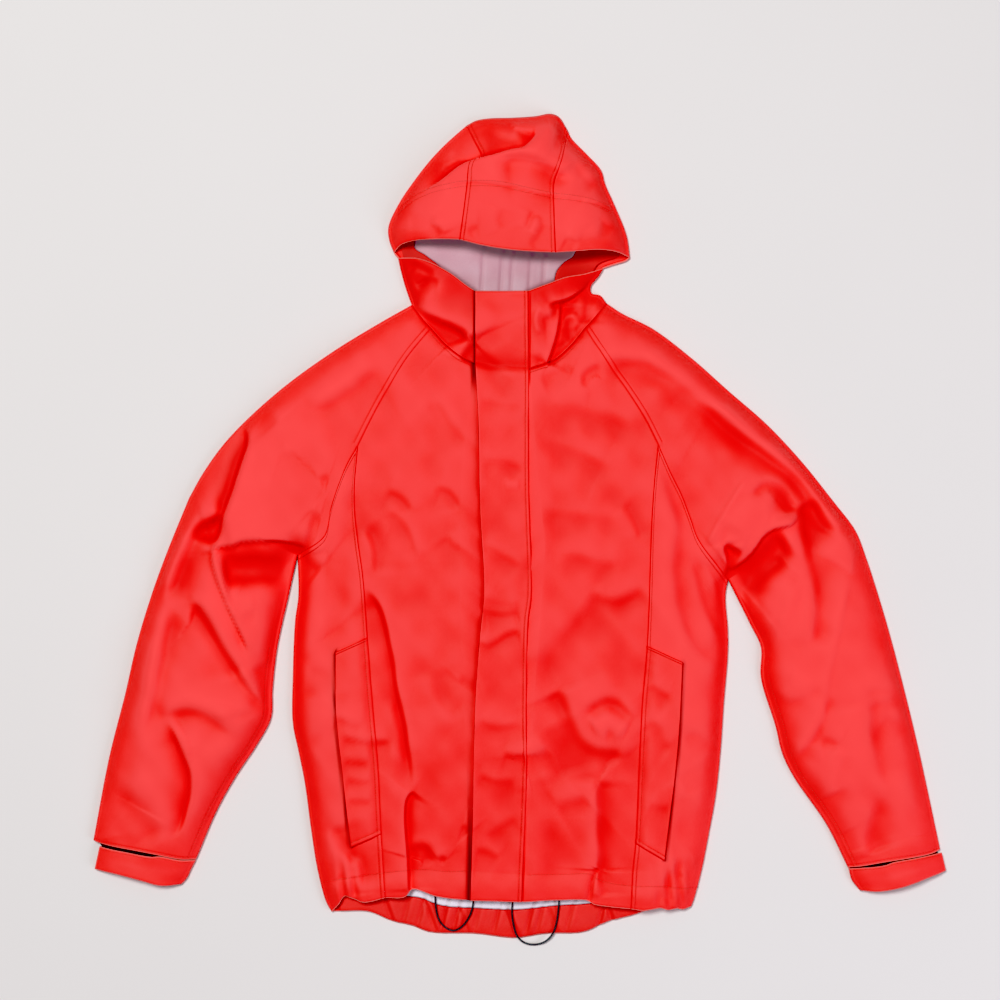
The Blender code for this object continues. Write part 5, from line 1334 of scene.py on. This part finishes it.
@dataclass
class Workroom:
    """Turns sheets into pieces that ride on the coat, and gathers the stitching."""

    wardrobe: Wardrobe
    land: Landscape
    pieces: list[bpy.types.Object] = field(default_factory=list)
    stitch_runs: list[tuple[np.ndarray, float]] = field(default_factory=list)

    def mesh_of(self, name: str, sheets: Sequence[Sheet]) -> bpy.types.Object:
        """Makes an object of sheets, joined where they meet."""
        mesh = bmesh.new()
        layers = {mark: mesh.verts.layers.float.new(mark) for mark in MARKS}
        for sheet in sheets:
            sheet.marks["hollow"] = sheet.painted_shade_measure()
            rows, columns = sheet.points.shape[0] - 1, sheet.points.shape[1] - 1
            made = bmesh.ops.create_grid(mesh, x_segments=columns, y_segments=rows, size=0.5)["verts"]
            for vert in made:
                row, column = round((0.5 - vert.co.y) * rows), round((vert.co.x + 0.5) * columns)
                vert.co = sheet.points[row, column] * METRE
                for mark, layer in layers.items():
                    vert[layer] = sheet.marks[mark][row, column]
            if sheet.turn < 0:
                bmesh.ops.reverse_faces(mesh, faces=list({face for vert in made for face in vert.link_faces}))
        bmesh.ops.remove_doubles(mesh, verts=mesh.verts[:], dist=0.00002)
        data = bpy.data.meshes.new(name)
        mesh.to_mesh(data)
        mesh.free()
        data.shade_smooth()
        return placed(name, data)

    def cloth(self, node: str, sheets: Sequence[Sheet], finish: Finish, wall: float,
              rests_on: Sequence[str] = ()) -> bpy.types.Object:
        """Makes a piece of cloth that stands for one of the coat's solids.

        Args:
            node: the solid's name.
            sheets: the cloth's outer faces.
            finish: what it is made of.
            wall: how thick it is.
            rests_on: the solids that it lies on; not used.

        Returns:
            The piece.
        """
        made = self.mesh_of(f"{node}_cloth", sheets)
        made.data.materials.append(self.wardrobe.cloth[finish])
        thicken(made, wall)
        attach(made, BODY)
        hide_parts(node)
        area, cut = sum(sheet.area() for sheet in sheets), flat_cut(sheets)
        self.pieces.append(made)
        LOG.info("%s: %d faces, %.4f m2 of %.4f", made.name, len(made.data.polygons), area, cut[0] * cut[1])
        return made

    def sew(self, run: np.ndarray, pitch: float = 3.4) -> None:
        """Notes a line of stitching for the sewing to follow."""
        self.stitch_runs.append((run, pitch))


@dataclass
class Grain:
    """How closely the sheets are gridded, in millimetres."""

    across: float = 2.1
    down: float = 2.6

    def count(self, run: Curve, step: float) -> int:
        """How many steps of about that size the rounded curve takes."""
        return max(2, round(lengths_along(smooth(run))[-1] / step))


GRAIN = Grain()


@dataclass
class Sleeve:
    """A raglan sleeve: its front and back in one piece, open along the raglan seam and at the cuff."""

    pattern: SidePattern
    wall: float = 1.3
    seam_line: float = 6.2
    cuff_line: float = 3.4
    underarm_lines: Pair = (9.0, 14.0)

    def build(self, room: Workroom) -> None:
        """Lays both halves, sinks the stitching and makes the piece."""
        p, land = self.pattern, room.land
        upper, lower = GRAIN.count(p.raglan_upper, GRAIN.down), GRAIN.count(p.raglan_lower, GRAIN.down)
        rows = GRAIN.count(p.sleeve_fold, GRAIN.down)
        down = crowded(rows, first=False)
        outer = joined(along(p.shoulder_fold, upper + lower), at_shares(p.sleeve_fold, down))
        inner = at_shares(p.underarm_fold, down)
        front_seam = joined(along(p.raglan_upper, upper), along(p.raglan_lower, lower))
        columns = GRAIN.count([p.sleeve_fold[3], p.underarm_fold[3]], GRAIN.across)
        spread = crowded(columns)
        front = facing(p.side, at_shares(p.neck_sleeve, spread), at_shares(p.cuff_edge, spread), outer,
                       joined(front_seam, inner), land.front, folds="outer")
        spread = crowded(columns // 6)
        back = facing(p.side, at_shares(p.back_neck_sleeve, spread), at_shares(p.cuff_edge, spread), outer,
                      joined(along(p.raglan_back, upper + lower), inner), land.back, turn=-1, folds="outer")
        seam_rows = upper + lower
        column = -1 if p.side is Side.RIGHT else 0
        for sheet in (front, back):
            sheet.points[seam_rows:, column, 2] = FOLD
        rim = front.marks["rim_mm"]
        rim[seam_rows:] = np.minimum(rim, front.from_edge(p.side.inner))[seam_rows:]
        front.seam(p.side.inner, self.seam_line, rows=slice(0, upper + 1))
        front.seam(p.side.inner, rows=slice(upper + 1, seam_rows + 1)).seam("top").hem("bottom", 0.6)
        self.underarm_seam(room, front, p.side.inner, seam_rows)
        self.cuff_stitching(room, front)
        room.cloth(f"sleeve_{p.side.value}", [front, back], Finish.CORAL, self.wall)

    def underarm_seam(self, room: Workroom, sheet: Sheet, edge: str, start: int) -> None:
        """Presses the felled underarm seam into the sleeve, a little in from its fold."""
        away = sheet.from_edge(edge)[start + 8 :]
        fade = ramp(np.arange(len(away))[:, None], 0, 25) * (1 - ramp(away, 12, 30))
        for place in self.underarm_lines:
            sheet.points[start + 8 :, :, 2] -= 0.45 * fade * bell(away - place, 0.9)
        room.sew(Sheet(sheet.points[start + 30 :], 1).line_beside(edge, self.underarm_lines[1])[:-4])

    def cuff_stitching(self, room: Workroom, sheet: Sheet) -> None:
        """Sews the line above the sleeve's hem."""
        away = sheet.from_edge("bottom")
        sheet.points[..., 2] -= 0.5 * bell(away - self.cuff_line, 0.8)
        room.sew(sheet.line_beside("bottom", self.cuff_line)[4:-4])


@dataclass
class Cuff:
    """A strap round the end of a sleeve, with a black strip laid in the slit above it."""

    pattern: SidePattern
    wall: float = 1.3
    line: float = 2.6
    strip_drop: float = 5.0

    def build(self, room: Workroom) -> None:
        """Lays the strap's two faces and the black strip."""
        p, land = self.pattern, room.land
        inner = along(p.strap_fold, 14)
        spread = crowded(60)
        sewn = smooth(p.cuff_edge[2:]) - [0, 0.45]
        under_edge = np.vstack([np.array(p.strap_end[:1]), sewn[:-1], inner[:1]])
        front = facing(p.side, at_shares(p.strap_edge, spread), at_shares(p.strap_hem, spread),
                       along(p.strap_end, 14), inner, land.front, folds="inner")
        back = facing(p.side, at_shares(under_edge, spread), at_shares(p.strap_hem, spread),
                      along([tuple(under_edge[0]), p.strap_end[1]], 14), inner, land.back, turn=-1, folds="inner")
        front.hem(f"top bottom {p.side.outer}", 0.5)
        room.sew(front.line_beside("top", self.line)[3:-6])
        room.cloth(f"cuff_strap_{p.side.value}", [front, back], Finish.CORAL, self.wall)
        self.tape(room)

    def tape(self, room: Workroom) -> None:
        """Lays a black strip under the slit between the sleeve and the strap."""
        p = self.pattern
        end = 0.66 if p.side is Side.RIGHT else 0.98
        upper = at_shares(p.cuff_edge, np.linspace(0.05, end, 41)) + [0, 2.5]
        lower = at_shares(p.strap_edge, np.linspace(0.03, end, 41)) - [0, 2.5]
        sheet = facing(p.side, upper, lower, *(np.linspace(upper[k], lower[k], 5) for k in (0, -1)),
                       over(room.land.front, -self.strip_drop))
        made = room.mesh_of(f"cuff_slit_strip_{p.side.value}", [sheet])
        made.data.materials.append(room.wardrobe.black_slit_strip)
        thicken(made, 0.8)
        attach(made, BODY)
        max(sheet.area(), 0.3 * 0.13 * 0.02)


@dataclass
class BodyPanels:
    """The centre and side fronts, the pocket welts and the back."""

    wall: float = 1.3
    welt_wall: float = 2.2
    welt_lift: float = 2.6
    welt_rise: float = 16.0
    welt_lines: Pair = (3.2, 6.0)
    seam_line: float = 6.2
    princess_line: float = 5.2

    def build(self, room: Workroom, patterns: Sequence[SidePattern]) -> None:
        """Lays every panel."""
        for pattern in patterns:
            self.centre_front(room, pattern)
            self.side_front(room, pattern)
            self.welt(room, pattern)
        self.back(room, patterns)

    @staticmethod
    def rows(p: SidePattern) -> tuple[int, int]:
        """How many rows the princess seam and the raglan seam's upper part take."""
        return GRAIN.count(p.princess, GRAIN.down), GRAIN.count(p.raglan_upper, GRAIN.down)

    def centre_front(self, room: Workroom, p: SidePattern) -> None:
        """Lays a centre front, from its raglan and princess seams to the middle."""
        rows, upper = self.rows(p)
        spread = crowded(GRAIN.count([(0, 0), (186, 0)], GRAIN.across))
        neck = joined(smooth(p.neck_front), np.array([CENTRE.front[0]]))
        hem = joined(smooth(p.front_hem), np.array([CENTRE.front[-1]]))
        outer = joined(along(p.raglan_upper, upper), at_shares(p.princess, crowded(rows, first=False)))
        sheet = facing(p.side, on_run(neck, spread), on_run(hem, spread), outer,
                       at_shares(CENTRE.front, crowded(upper + rows, first=False)), room.land.front)
        sheet.seam(p.side.outer).seam("top", self.seam_line).hem("bottom")
        if p.side is Side.RIGHT:
            sheet.in_shade_of(smooth(p.flap_edge) - [2.2, 0], 3.2)
        room.sew(sheet.line_beside("top", self.seam_line)[3:-30])
        room.cloth(f"centre_front_{p.side.value}", [sheet], Finish.CORAL, self.wall)

    def side_front(self, room: Workroom, p: SidePattern) -> None:
        """Lays a side front, from its folded edge to the princess seam."""
        rows = self.rows(p)[0]
        spread = crowded(GRAIN.count([(0, 0), (92, 0)], GRAIN.across))
        lower, down = smooth(p.raglan_lower)[::-1], crowded(rows)
        sheet = facing(p.side, on_run(lower, spread), at_shares(p.side_hem, spread),
                       at_shares(p.side_fold, down), at_shares(p.princess, down), room.land.front, folds="outer")
        sheet.seam("top", self.seam_line).seam(p.side.inner, self.princess_line).hem("bottom")
        sheet.in_shade_of(smooth(p.welt_free_edge) + [p.side.outward * 0.6, 0], 1.8)
        high, low = (place[1] for place in p.welt_seam_ends)
        under = ramp(sheet.points[..., 1], high, high - 6) * ramp(sheet.points[..., 1], low, low + 6)
        sheet.points[..., 2] -= self.welt_lift * under * (1 - ramp(sheet.from_edge(p.side.inner), 0, self.welt_rise))
        for edge, away in (("top", self.seam_line), (p.side.inner, self.princess_line)):
            room.sew(sheet.line_beside(edge, away)[6:-4])
        room.cloth(f"side_front_{p.side.value}", [sheet], Finish.CORAL, self.wall)

    def welt(self, room: Workroom, p: SidePattern) -> None:
        """Lays a pocket welt over the side front, from its free edge to the princess seam."""
        down = crowded(GRAIN.count(p.welt_free_edge, GRAIN.down))
        free, sewn = at_shares(p.welt_free_edge, down), on_run(split(p.princess, *p.welt_seam_ends)[1], down)

        def height(points: np.ndarray) -> np.ndarray:
            """Rises from the seam towards the free edge."""
            rise = 0.06 + 0.94 * ramp(Nearest.to(points, sewn).distance, 0, self.welt_rise)
            return room.land.front(points) + self.welt_lift * rise

        ends = [between(free[k], sewn[k], crowded(26)) for k in (0, -1)]
        sheet = facing(p.side, *ends, free, sewn, height)
        sheet.points[..., 2] += 1.6 * np.exp(-sheet.from_edge(p.side.outer) / 7)
        top, bottom = self.welt_lines
        sheet.seam("top", top, rise=0.9).seam("bottom", bottom, rise=0.9).hem(p.side.outer, 0.5, 1.0, lit=False)
        sheet.marks["shade"][sheet.index(p.side.outer)] = 1.0
        sheet.seam(p.side.inner, self.princess_line)
        for edge, away in (("top", top), ("bottom", bottom), (p.side.inner, self.princess_line)):
            room.sew(sheet.line_beside(edge, away)[3:-3])
        room.cloth(f"pocket_welt_{p.side.value}", [sheet], Finish.CORAL, self.welt_wall,
                   rests_on=[f"side_front_{p.side.value}"])

    def back(self, room: Workroom, patterns: Sequence[SidePattern]) -> None:
        """Lays the back on the surface."""
        right, left = patterns
        rows = max(self.rows(p)[0] for p in patterns)
        seam = max(GRAIN.count(p.raglan_back, GRAIN.down * 2) for p in patterns)
        runs = [joined(along(p.raglan_back, seam), along(p.side_fold, rows // 2)) for p in patterns]
        neck = joined(smooth(right.back_neck_side), smooth(CENTRE.back_neck), smooth(left.back_neck_side)[::-1])
        spread = crowded(64)
        sheet = Sheet.lay(on_run(neck, spread), at_shares(CENTRE.back_hem, spread), runs[0], runs[1],
                          room.land.back, turn=-1)
        sheet.points[seam:, (0, -1), 2] = FOLD
        sheet.hem("bottom", 0.5)
        room.cloth("back_panel", [sheet], Finish.CORAL, self.wall)


@dataclass
class Hood:
    """The hood: its centre strip, its two sides with the collar's fronts, its lining and its facings."""

    wall: float = 1.3
    seam_line: float = 5.0
    rows: int = 64
    corner_rows: int = 12
    collar_rows: int = 40

    def build(self, room: Workroom, patterns: Sequence[SidePattern]) -> None:
        """Lays every part of the hood."""
        for pattern in patterns:
            self.side(room, pattern)
            self.facing(room, pattern)
        self.centre(room, patterns)
        self.lining(room, patterns)
        self.brim_lines(room)

    def side(self, room: Workroom, p: SidePattern) -> None:
        """Lays a hood side: its crown, its back and its collar front."""
        land = room.land
        fold = along(p.hood_fold, self.rows)
        corner, collar = along(p.hood_corner, self.corner_rows), along(p.collar_fold, self.collar_rows)
        spread = crowded(48)
        crown = facing(p.side, np.repeat(fold[:1], len(spread), axis=0), at_shares(p.brim_edge, spread), fold,
                       along(p.hood_seam, self.rows), land.crown, folds="outer")
        crown.points[0] = [*fold[0], FOLD]
        outer = joined(fold, corner, collar)
        wide = crowded(14)
        neck = joined(smooth(p.back_neck_sleeve), smooth(p.back_neck_side))
        back = facing(p.side, np.repeat(fold[:1], len(wide), axis=0), on_run(neck, wide), outer,
                      along(p.hood_back_seam, len(outer) - 1), land.hood_back, turn=-1, folds="outer")
        back.points[0] = [*fold[0], FOLD]
        front = self.collar_front(room, p, collar)
        crown.seam(p.side.inner).hem("bottom", 0.6)
        room.cloth(f"hood_side_{p.side.value}", [crown, back, front], Finish.CORAL, self.wall)

    def collar_front(self, room: Workroom, p: SidePattern, collar: np.ndarray) -> Sheet:
        """Lays the front of the collar, from its folded edge to the middle."""
        middle = CENTRE.front[0]
        top = (middle[0], COLLAR_TOP)
        edge = joined(smooth(p.collar_edge), np.array([top]))
        seam = joined(smooth(p.neck_sleeve), smooth(p.neck_front), np.array([middle]))
        spread = crowded(66)
        sheet = facing(p.side, on_run(edge, spread), on_run(seam, spread), collar,
                       along([top, middle], self.collar_rows), room.land.front, folds="outer")
        # painted shade over the collar front, weaker near its neck seam
        sheet.marks["painted_shade_and_light"] += 4.4 - 3.0 * ramp(sheet.from_edge("bottom"), 50, 8)
        sheet.hem("top", 0.8).seam("bottom")
        if p.side is Side.RIGHT:
            x = p.collar_edge[-1][0] - 0.9
            sheet.in_shade_of(np.array([(x, COLLAR_TOP), (x, 200.0)]), 1.0)
        return sheet

    def centre(self, room: Workroom, patterns: Sequence[SidePattern]) -> None:
        """Lays the hood's centre strip, over the crown and down the back."""
        spread = crowded(56, pull=0.6)
        runs = [along(p.hood_seam, self.rows) for p in patterns]
        crown = Sheet.lay(at_shares(CENTRE.hood_top, spread), at_shares(CENTRE.brim_edge, spread), runs[0], runs[1],
                          room.land.crown, folds="top")
        rows = self.rows + self.corner_rows + self.collar_rows
        runs = [along(p.hood_back_seam, rows // 2) for p in patterns]
        back = Sheet.lay(at_shares(CENTRE.hood_top, spread), at_shares(CENTRE.back_neck, spread), runs[0], runs[1],
                         room.land.hood_back, turn=-1, folds="top")
        crown.seam("left right", self.seam_line).hem("bottom", 0.6)
        for edge in ("left", "right"):
            room.sew(crown.line_beside(edge, self.seam_line)[6:-2])
        room.cloth("hood_centre", [crown, back], Finish.CORAL, self.wall)

    def lining(self, room: Workroom, patterns: Sequence[SidePattern]) -> None:
        """Lays the lining inside the back of the hood."""
        sides = [along(p.lining_side, 60) for p in patterns]
        across = [between(sides[0][k], sides[1][k], np.linspace(0, 1, 81)) for k in (0, -1)]
        sheet = Sheet.lay(*across, *sides, room.land.hood_floor)
        sheet.seam("left right")
        for p in patterns:
            sheet.in_shade_of(smooth(p.collar_edge), 3.2)
        room.cloth("hood_lining", [sheet], Finish.LINING, 0.8)

    def facing(self, room: Workroom, p: SidePattern) -> None:
        """Lays the facing that shows at a corner of the face opening."""
        inner, outer = along(p.lining_side, 60)[6:-6], along(p.facing_fold, 48)
        across = [between(outer[k], inner[k], crowded(26)) for k in (0, -1)]
        sheet = facing(p.side, *across, outer, inner, over(room.land.hood_floor, -0.3))
        # painted shade over the whole facing
        sheet.seam(p.side.inner).marks["painted_shade_and_light"] += 4.0
        room.cloth(f"hood_facing_{p.side.value}", [sheet], Finish.FACING, 0.9)

    def brim_lines(self, room: Workroom) -> None:
        """Sews the two lines of the brim's tuck across the crown."""
        for shift in (-3.2, 3.2):
            run = along(CENTRE.brim_tuck, 160) + [0, shift]
            room.sew(np.column_stack([run, room.land.crown(run) + THREAD_LIFT])[4:-4])


@dataclass
class Closure:
    """The storm flap down the front, and the zip's tape under it."""

    flap_lift: float = 2.7
    flap_wall: float = 2.2
    edge_lift: float = 2.0
    line: float = 4.6
    collar_rows: int = 40

    def build(self, room: Workroom, patterns: Sequence[SidePattern]) -> None:
        """Lays the flap and the tape."""
        down = crowded(GRAIN.count(patterns[0].flap_edge, GRAIN.down), first=False)
        edges = [
            joined(along([p.collar_edge[-1], p.neck_front[-1]], self.collar_rows), at_shares(p.flap_edge, down))
            for p in patterns
        ]
        ends = [between(edges[0][k], edges[1][k], crowded(40)) for k in (0, -1)]
        flap = Sheet.lay(*ends, *edges, over(room.land.front, self.flap_lift))
        flap.points[..., 2] += self.edge_lift * np.exp(-flap.from_edge("left") / 9)
        flap.marks["shade"][:, 0] = 1.0
        flap.hem("left", 0.5, 1.0, lit=False).hem("top bottom", 1.2).seam("right", self.line)
        room.sew(flap.line_beside("right", self.line)[2:-2])
        room.cloth("storm_flap", [flap], Finish.CORAL, self.flap_wall,
                   rests_on=["centre_front_right", "centre_front_left"])
        middle = (edges[0] + edges[1]) / 2
        sides = [middle + [shift, 0] for shift in (-20, 20)]
        tape = Sheet.lay(*(np.linspace(sides[0][k], sides[1][k], 9) for k in (0, -1)), *sides,
                         over(room.land.front, -1.8))
        room.cloth("front_zip", [tape], Finish.TAPE, 1.0)


@dataclass
class HemInside:
    """What shows inside the back hem: its gathered casing, the lining's edge and the two cords."""

    cord_diameter: float = 2.6
    cord_routes: tuple = (
        ("hem_cord_right", (
            (-106, -452, 12.0), (-106, -466, 10.4), (-105, -480, 8.4), (-101, -494, 7.6), (-92, -504, 6.6),
            (-83, -507, 6.2), (-74, -503, 6.8), (-65, -492, 7.8), (-60, -480, 8.4), (-58, -466, 10.4),
            (-57, -452, 12.0))),
        ("hem_cord_left", (
            (-9, -454, 12.0), (-9, -468, 10.4), (-10, -484, 8.4), (-8, -500, 7.8), (-4, -513, 6.6), (3, -521, 4.4),
            (12, -525, 2.0), (22, -525, 1.9), (32, -521, 4.2), (41, -511, 6.8), (46, -496, 7.8), (48, -482, 8.4),
            (49, -468, 10.4), (49, -454, 12.0))),
    )

    def cords(self, room: Workroom) -> None:
        """Lays the two loops of cord."""
        for name, route in self.cord_routes:
            run = along(route, 60)
            curve = bpy.data.curves.new(f"{name}_braid", "CURVE")
            curve.dimensions = "3D"
            curve.bevel_depth = self.cord_diameter / 2 * METRE
            curve.bevel_resolution = 3
            curve.use_fill_caps = True
            spline = curve.splines.new("POLY")
            spline.points.add(len(run) - 1)
            for point, place in zip(spline.points, run):
                point.co = (*(place * METRE), 1.0)
            curve.materials.append(room.wardrobe.cloth[Finish.CORD])
            made = placed(f"{name}_braid", curve)
            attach(made, BODY)
            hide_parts(name)

    def build(self, room: Workroom) -> None:
        """Lays the casing and the lining's edge."""
        columns = 260
        seam, low = along(CENTRE.casing_seam, columns), along(CENTRE.casing_hem, columns)
        high = along(CENTRE.lining_top, columns)
        casing = Sheet.lay(seam, low, *(np.linspace(seam[k], low[k], 17) for k in (0, -1)), room.land.casing)
        casing.seam("top").hem("bottom", 0.9)
        room.cloth("back_hem_casing", [casing], Finish.FACING, 1.0)
        lining = Sheet.lay(high, seam, *(np.linspace(high[k], seam[k], 25) for k in (0, -1)), room.land.casing)
        # painted light over the lining's edge above the hem casing
        lining.seam("bottom").marks["painted_shade_and_light"] -= 7.0
        room.cloth("back_lining", [lining], Finish.LINING, 0.8)

    @staticmethod
    def hem_lines(room: Workroom) -> None:
        """Sews the line above the front's hem, on both sides of the flap."""
        for curve in (CENTRE.hem_line_right, CENTRE.hem_line_left):
            run = along(curve, 120)
            room.sew(np.column_stack([run, room.land.front(run) + THREAD_LIFT]))


@dataclass
class Sewing:
    """The stitches, as short rounded threads along every noted line."""

    length: float = 2.6
    radius: float = 0.32
    sides: int = 5

    def stitch(self) -> tuple[np.ndarray, np.ndarray]:
        """The points and triangles of one stitch along X, made from a sphere."""
        mesh = bmesh.new()
        bmesh.ops.create_uvsphere(mesh, u_segments=self.sides, v_segments=4, radius=1.0)
        bmesh.ops.triangulate(mesh, faces=mesh.faces[:])
        mesh.verts.index_update()
        points = np.array([v.co.to_tuple() for v in mesh.verts])[:, [2, 0, 1]]
        faces = np.array([[v.index for v in f.verts] for f in mesh.faces])
        mesh.free()
        swollen = np.sign(points[:, 0]) * np.abs(points[:, 0]) ** 0.6
        return np.column_stack([swollen * self.length / 2, points[:, 1:] * self.radius]), faces

    def build(self, room: Workroom) -> None:
        """Lays every stitch in one mesh."""
        shape, faces = self.stitch()
        points, triangles, count = [], [], 0
        for run, pitch in room.stitch_runs:
            lengths = lengths_along(run)
            at = np.arange(pitch / 2, lengths[-1], pitch)
            ends = [np.column_stack([np.interp(at + d, lengths, run[:, k]) for k in range(3)]) for d in (-0.9, 0.9)]
            for start, end in zip(*ends):
                way = (end - start) / max(np.linalg.norm(end - start), 1e-6)
                across = np.cross([0, 0, 1.0], way)
                across /= max(np.linalg.norm(across), 1e-6)
                points.append(shape @ np.array([way, across, np.cross(way, across)]) + (start + end) / 2)
                triangles.append(faces + count * len(shape))
                count += 1
        data = bpy.data.meshes.new("top_stitching")
        data.from_pydata((np.vstack(points) * METRE).tolist(), [], np.vstack(triangles).tolist())
        data.shade_smooth()
        data.materials.append(room.wardrobe.thread)
        made = placed("top_stitching", data)
        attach(made, BODY)
        LOG.info("%s: %d stitches, %d faces", made.name, count, len(data.polygons))


@dataclass
class Studio:
    """The floor, the lights and the camera straight above the coat."""

    eye: tuple[float, float, float] = (-0.025, 0.0325, 3.0)
    sensor: float = 36.0
    frame_width: float = 1.25
    focus_height: float = 0.014
    floor_tone: Tone = (0.78, 0.775, 0.77, 1.0)
    sky: Tone = (0.93, 0.96, 1.0, 1.0)
    sky_strength: float = 0.18
    key_power: float = 267.0
    fill_power: float = 30.0

    def build(self) -> None:
        """Sets everything up."""
        scene = bpy.context.scene
        self.develop(scene.view_settings)
        world = bpy.data.worlds.new("soft_sky")
        world.use_nodes = True
        for socket, value in zip(world.node_tree.nodes["Background"].inputs, (self.sky, self.sky_strength)):
            socket.default_value = value
        scene.world = world
        self.floor()
        self.lamp("key_window", (-1.2, 1.6, 5.6), (-0.02, 0.0, 0.0), 1.5, self.key_power, (1.0, 0.985, 0.96))
        self.lamp("fill_window", (2.2, -1.6, 1.8), (0.1, -0.1, 0.0), 1.6, self.fill_power, (0.9, 0.86, 1.0))
        data = bpy.data.cameras.new("camera")
        data.sensor_width = self.sensor
        data.lens = self.sensor * (self.eye[2] - self.focus_height) / self.frame_width
        data.clip_end = 20.0
        scene.camera = placed("camera", data)
        scene.camera.location = self.eye

    @staticmethod
    def develop(view: bpy.types.ColorManagedViewSettings) -> None:
        """Sets plain output colours, with a camera's richer reds: a little green or blue falls away in the shade."""
        view.view_transform = "Standard"
        view.use_curve_mapping = True
        deep = ((0.028, 0.0014), (0.032, 0.003), (0.036, 0.007), (0.040, 0.016), (0.048, 0.037), (0.054, 0.053),
                (0.075, 0.075), (0.12, 0.12))
        for channel, places in ((0, ((0.03, 0.012), (0.1, 0.1))), (1, deep), (2, deep)):
            for place in places:
                view.curve_mapping.curves[channel].points.new(*place)
        view.curve_mapping.update()

    def floor(self) -> None:
        """Lays a wide pale floor just under the coat."""
        mesh = bmesh.new()
        bmesh.ops.create_grid(mesh, x_segments=1, y_segments=1, size=6.0)
        data = bpy.data.meshes.new("floor")
        mesh.to_mesh(data)
        mesh.free()
        look, nodes = begin_material("pale_floor")
        noise = nodes.add("TexNoise", Vector=nodes.add("TexCoord").outputs["Object"], Scale=3.0, Detail=3.0)
        tone = nodes.blend(noise.outputs[0], self.floor_tone, tuple(0.97 * c for c in self.floor_tone))
        nodes.shade(Base_Color=tone, Roughness=0.85)
        data.materials.append(look)
        made = placed("floor", data)
        made.location = (0.0, 0.0, -0.0006)
        made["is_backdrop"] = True

    @staticmethod
    def lamp(name: str, place: tuple, target: tuple, size: float, power: float, tone: tuple) -> None:
        """Hangs a square soft light that faces the target."""
        data = bpy.data.lights.new(name, "AREA")
        data.shape = "SQUARE"
        data.size = size
        data.energy = power
        data.color = tone
        made = placed(name, data)
        made.location = place
        way = Vector(target) - Vector(place)
        made.rotation_euler = way.to_track_quat("-Z", "Y").to_euler()


def size_lines(label: str) -> list[list[float]]:
    """The shown object's lowest and highest corners, as plain lists."""
    low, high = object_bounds()
    LOG.info("%s: %s to %s", label, [round(v, 4) for v in low], [round(v, 4) for v in high])
    return [[float(v) for v in low], [float(v) for v in high]]


def main() -> None:
    """Builds the coat's pieces in order and dresses them."""
    logging.basicConfig(level=logging.INFO, format="%(name)s: %(message)s", force=True)
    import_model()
    sizes = {"cad": size_lines("solids")}
    Studio().build()
    room = Workroom(Wardrobe(), Landscape().survey())
    inside_hem = HemInside()
    inside_hem.cords(room)
    patterns = (RIGHT_PATTERN, LEFT_PATTERN)
    for pattern in patterns:
        Sleeve(pattern).build(room)
        Cuff(pattern).build(room)
    BodyPanels().build(room, patterns)
    Hood().build(room, patterns)
    Closure().build(room, patterns)
    inside_hem.build(room)
    inside_hem.hem_lines(room)
    Sewing().build(room)
    sizes["visual"] = size_lines("dressed")


if __name__ == "__main__":
    main()
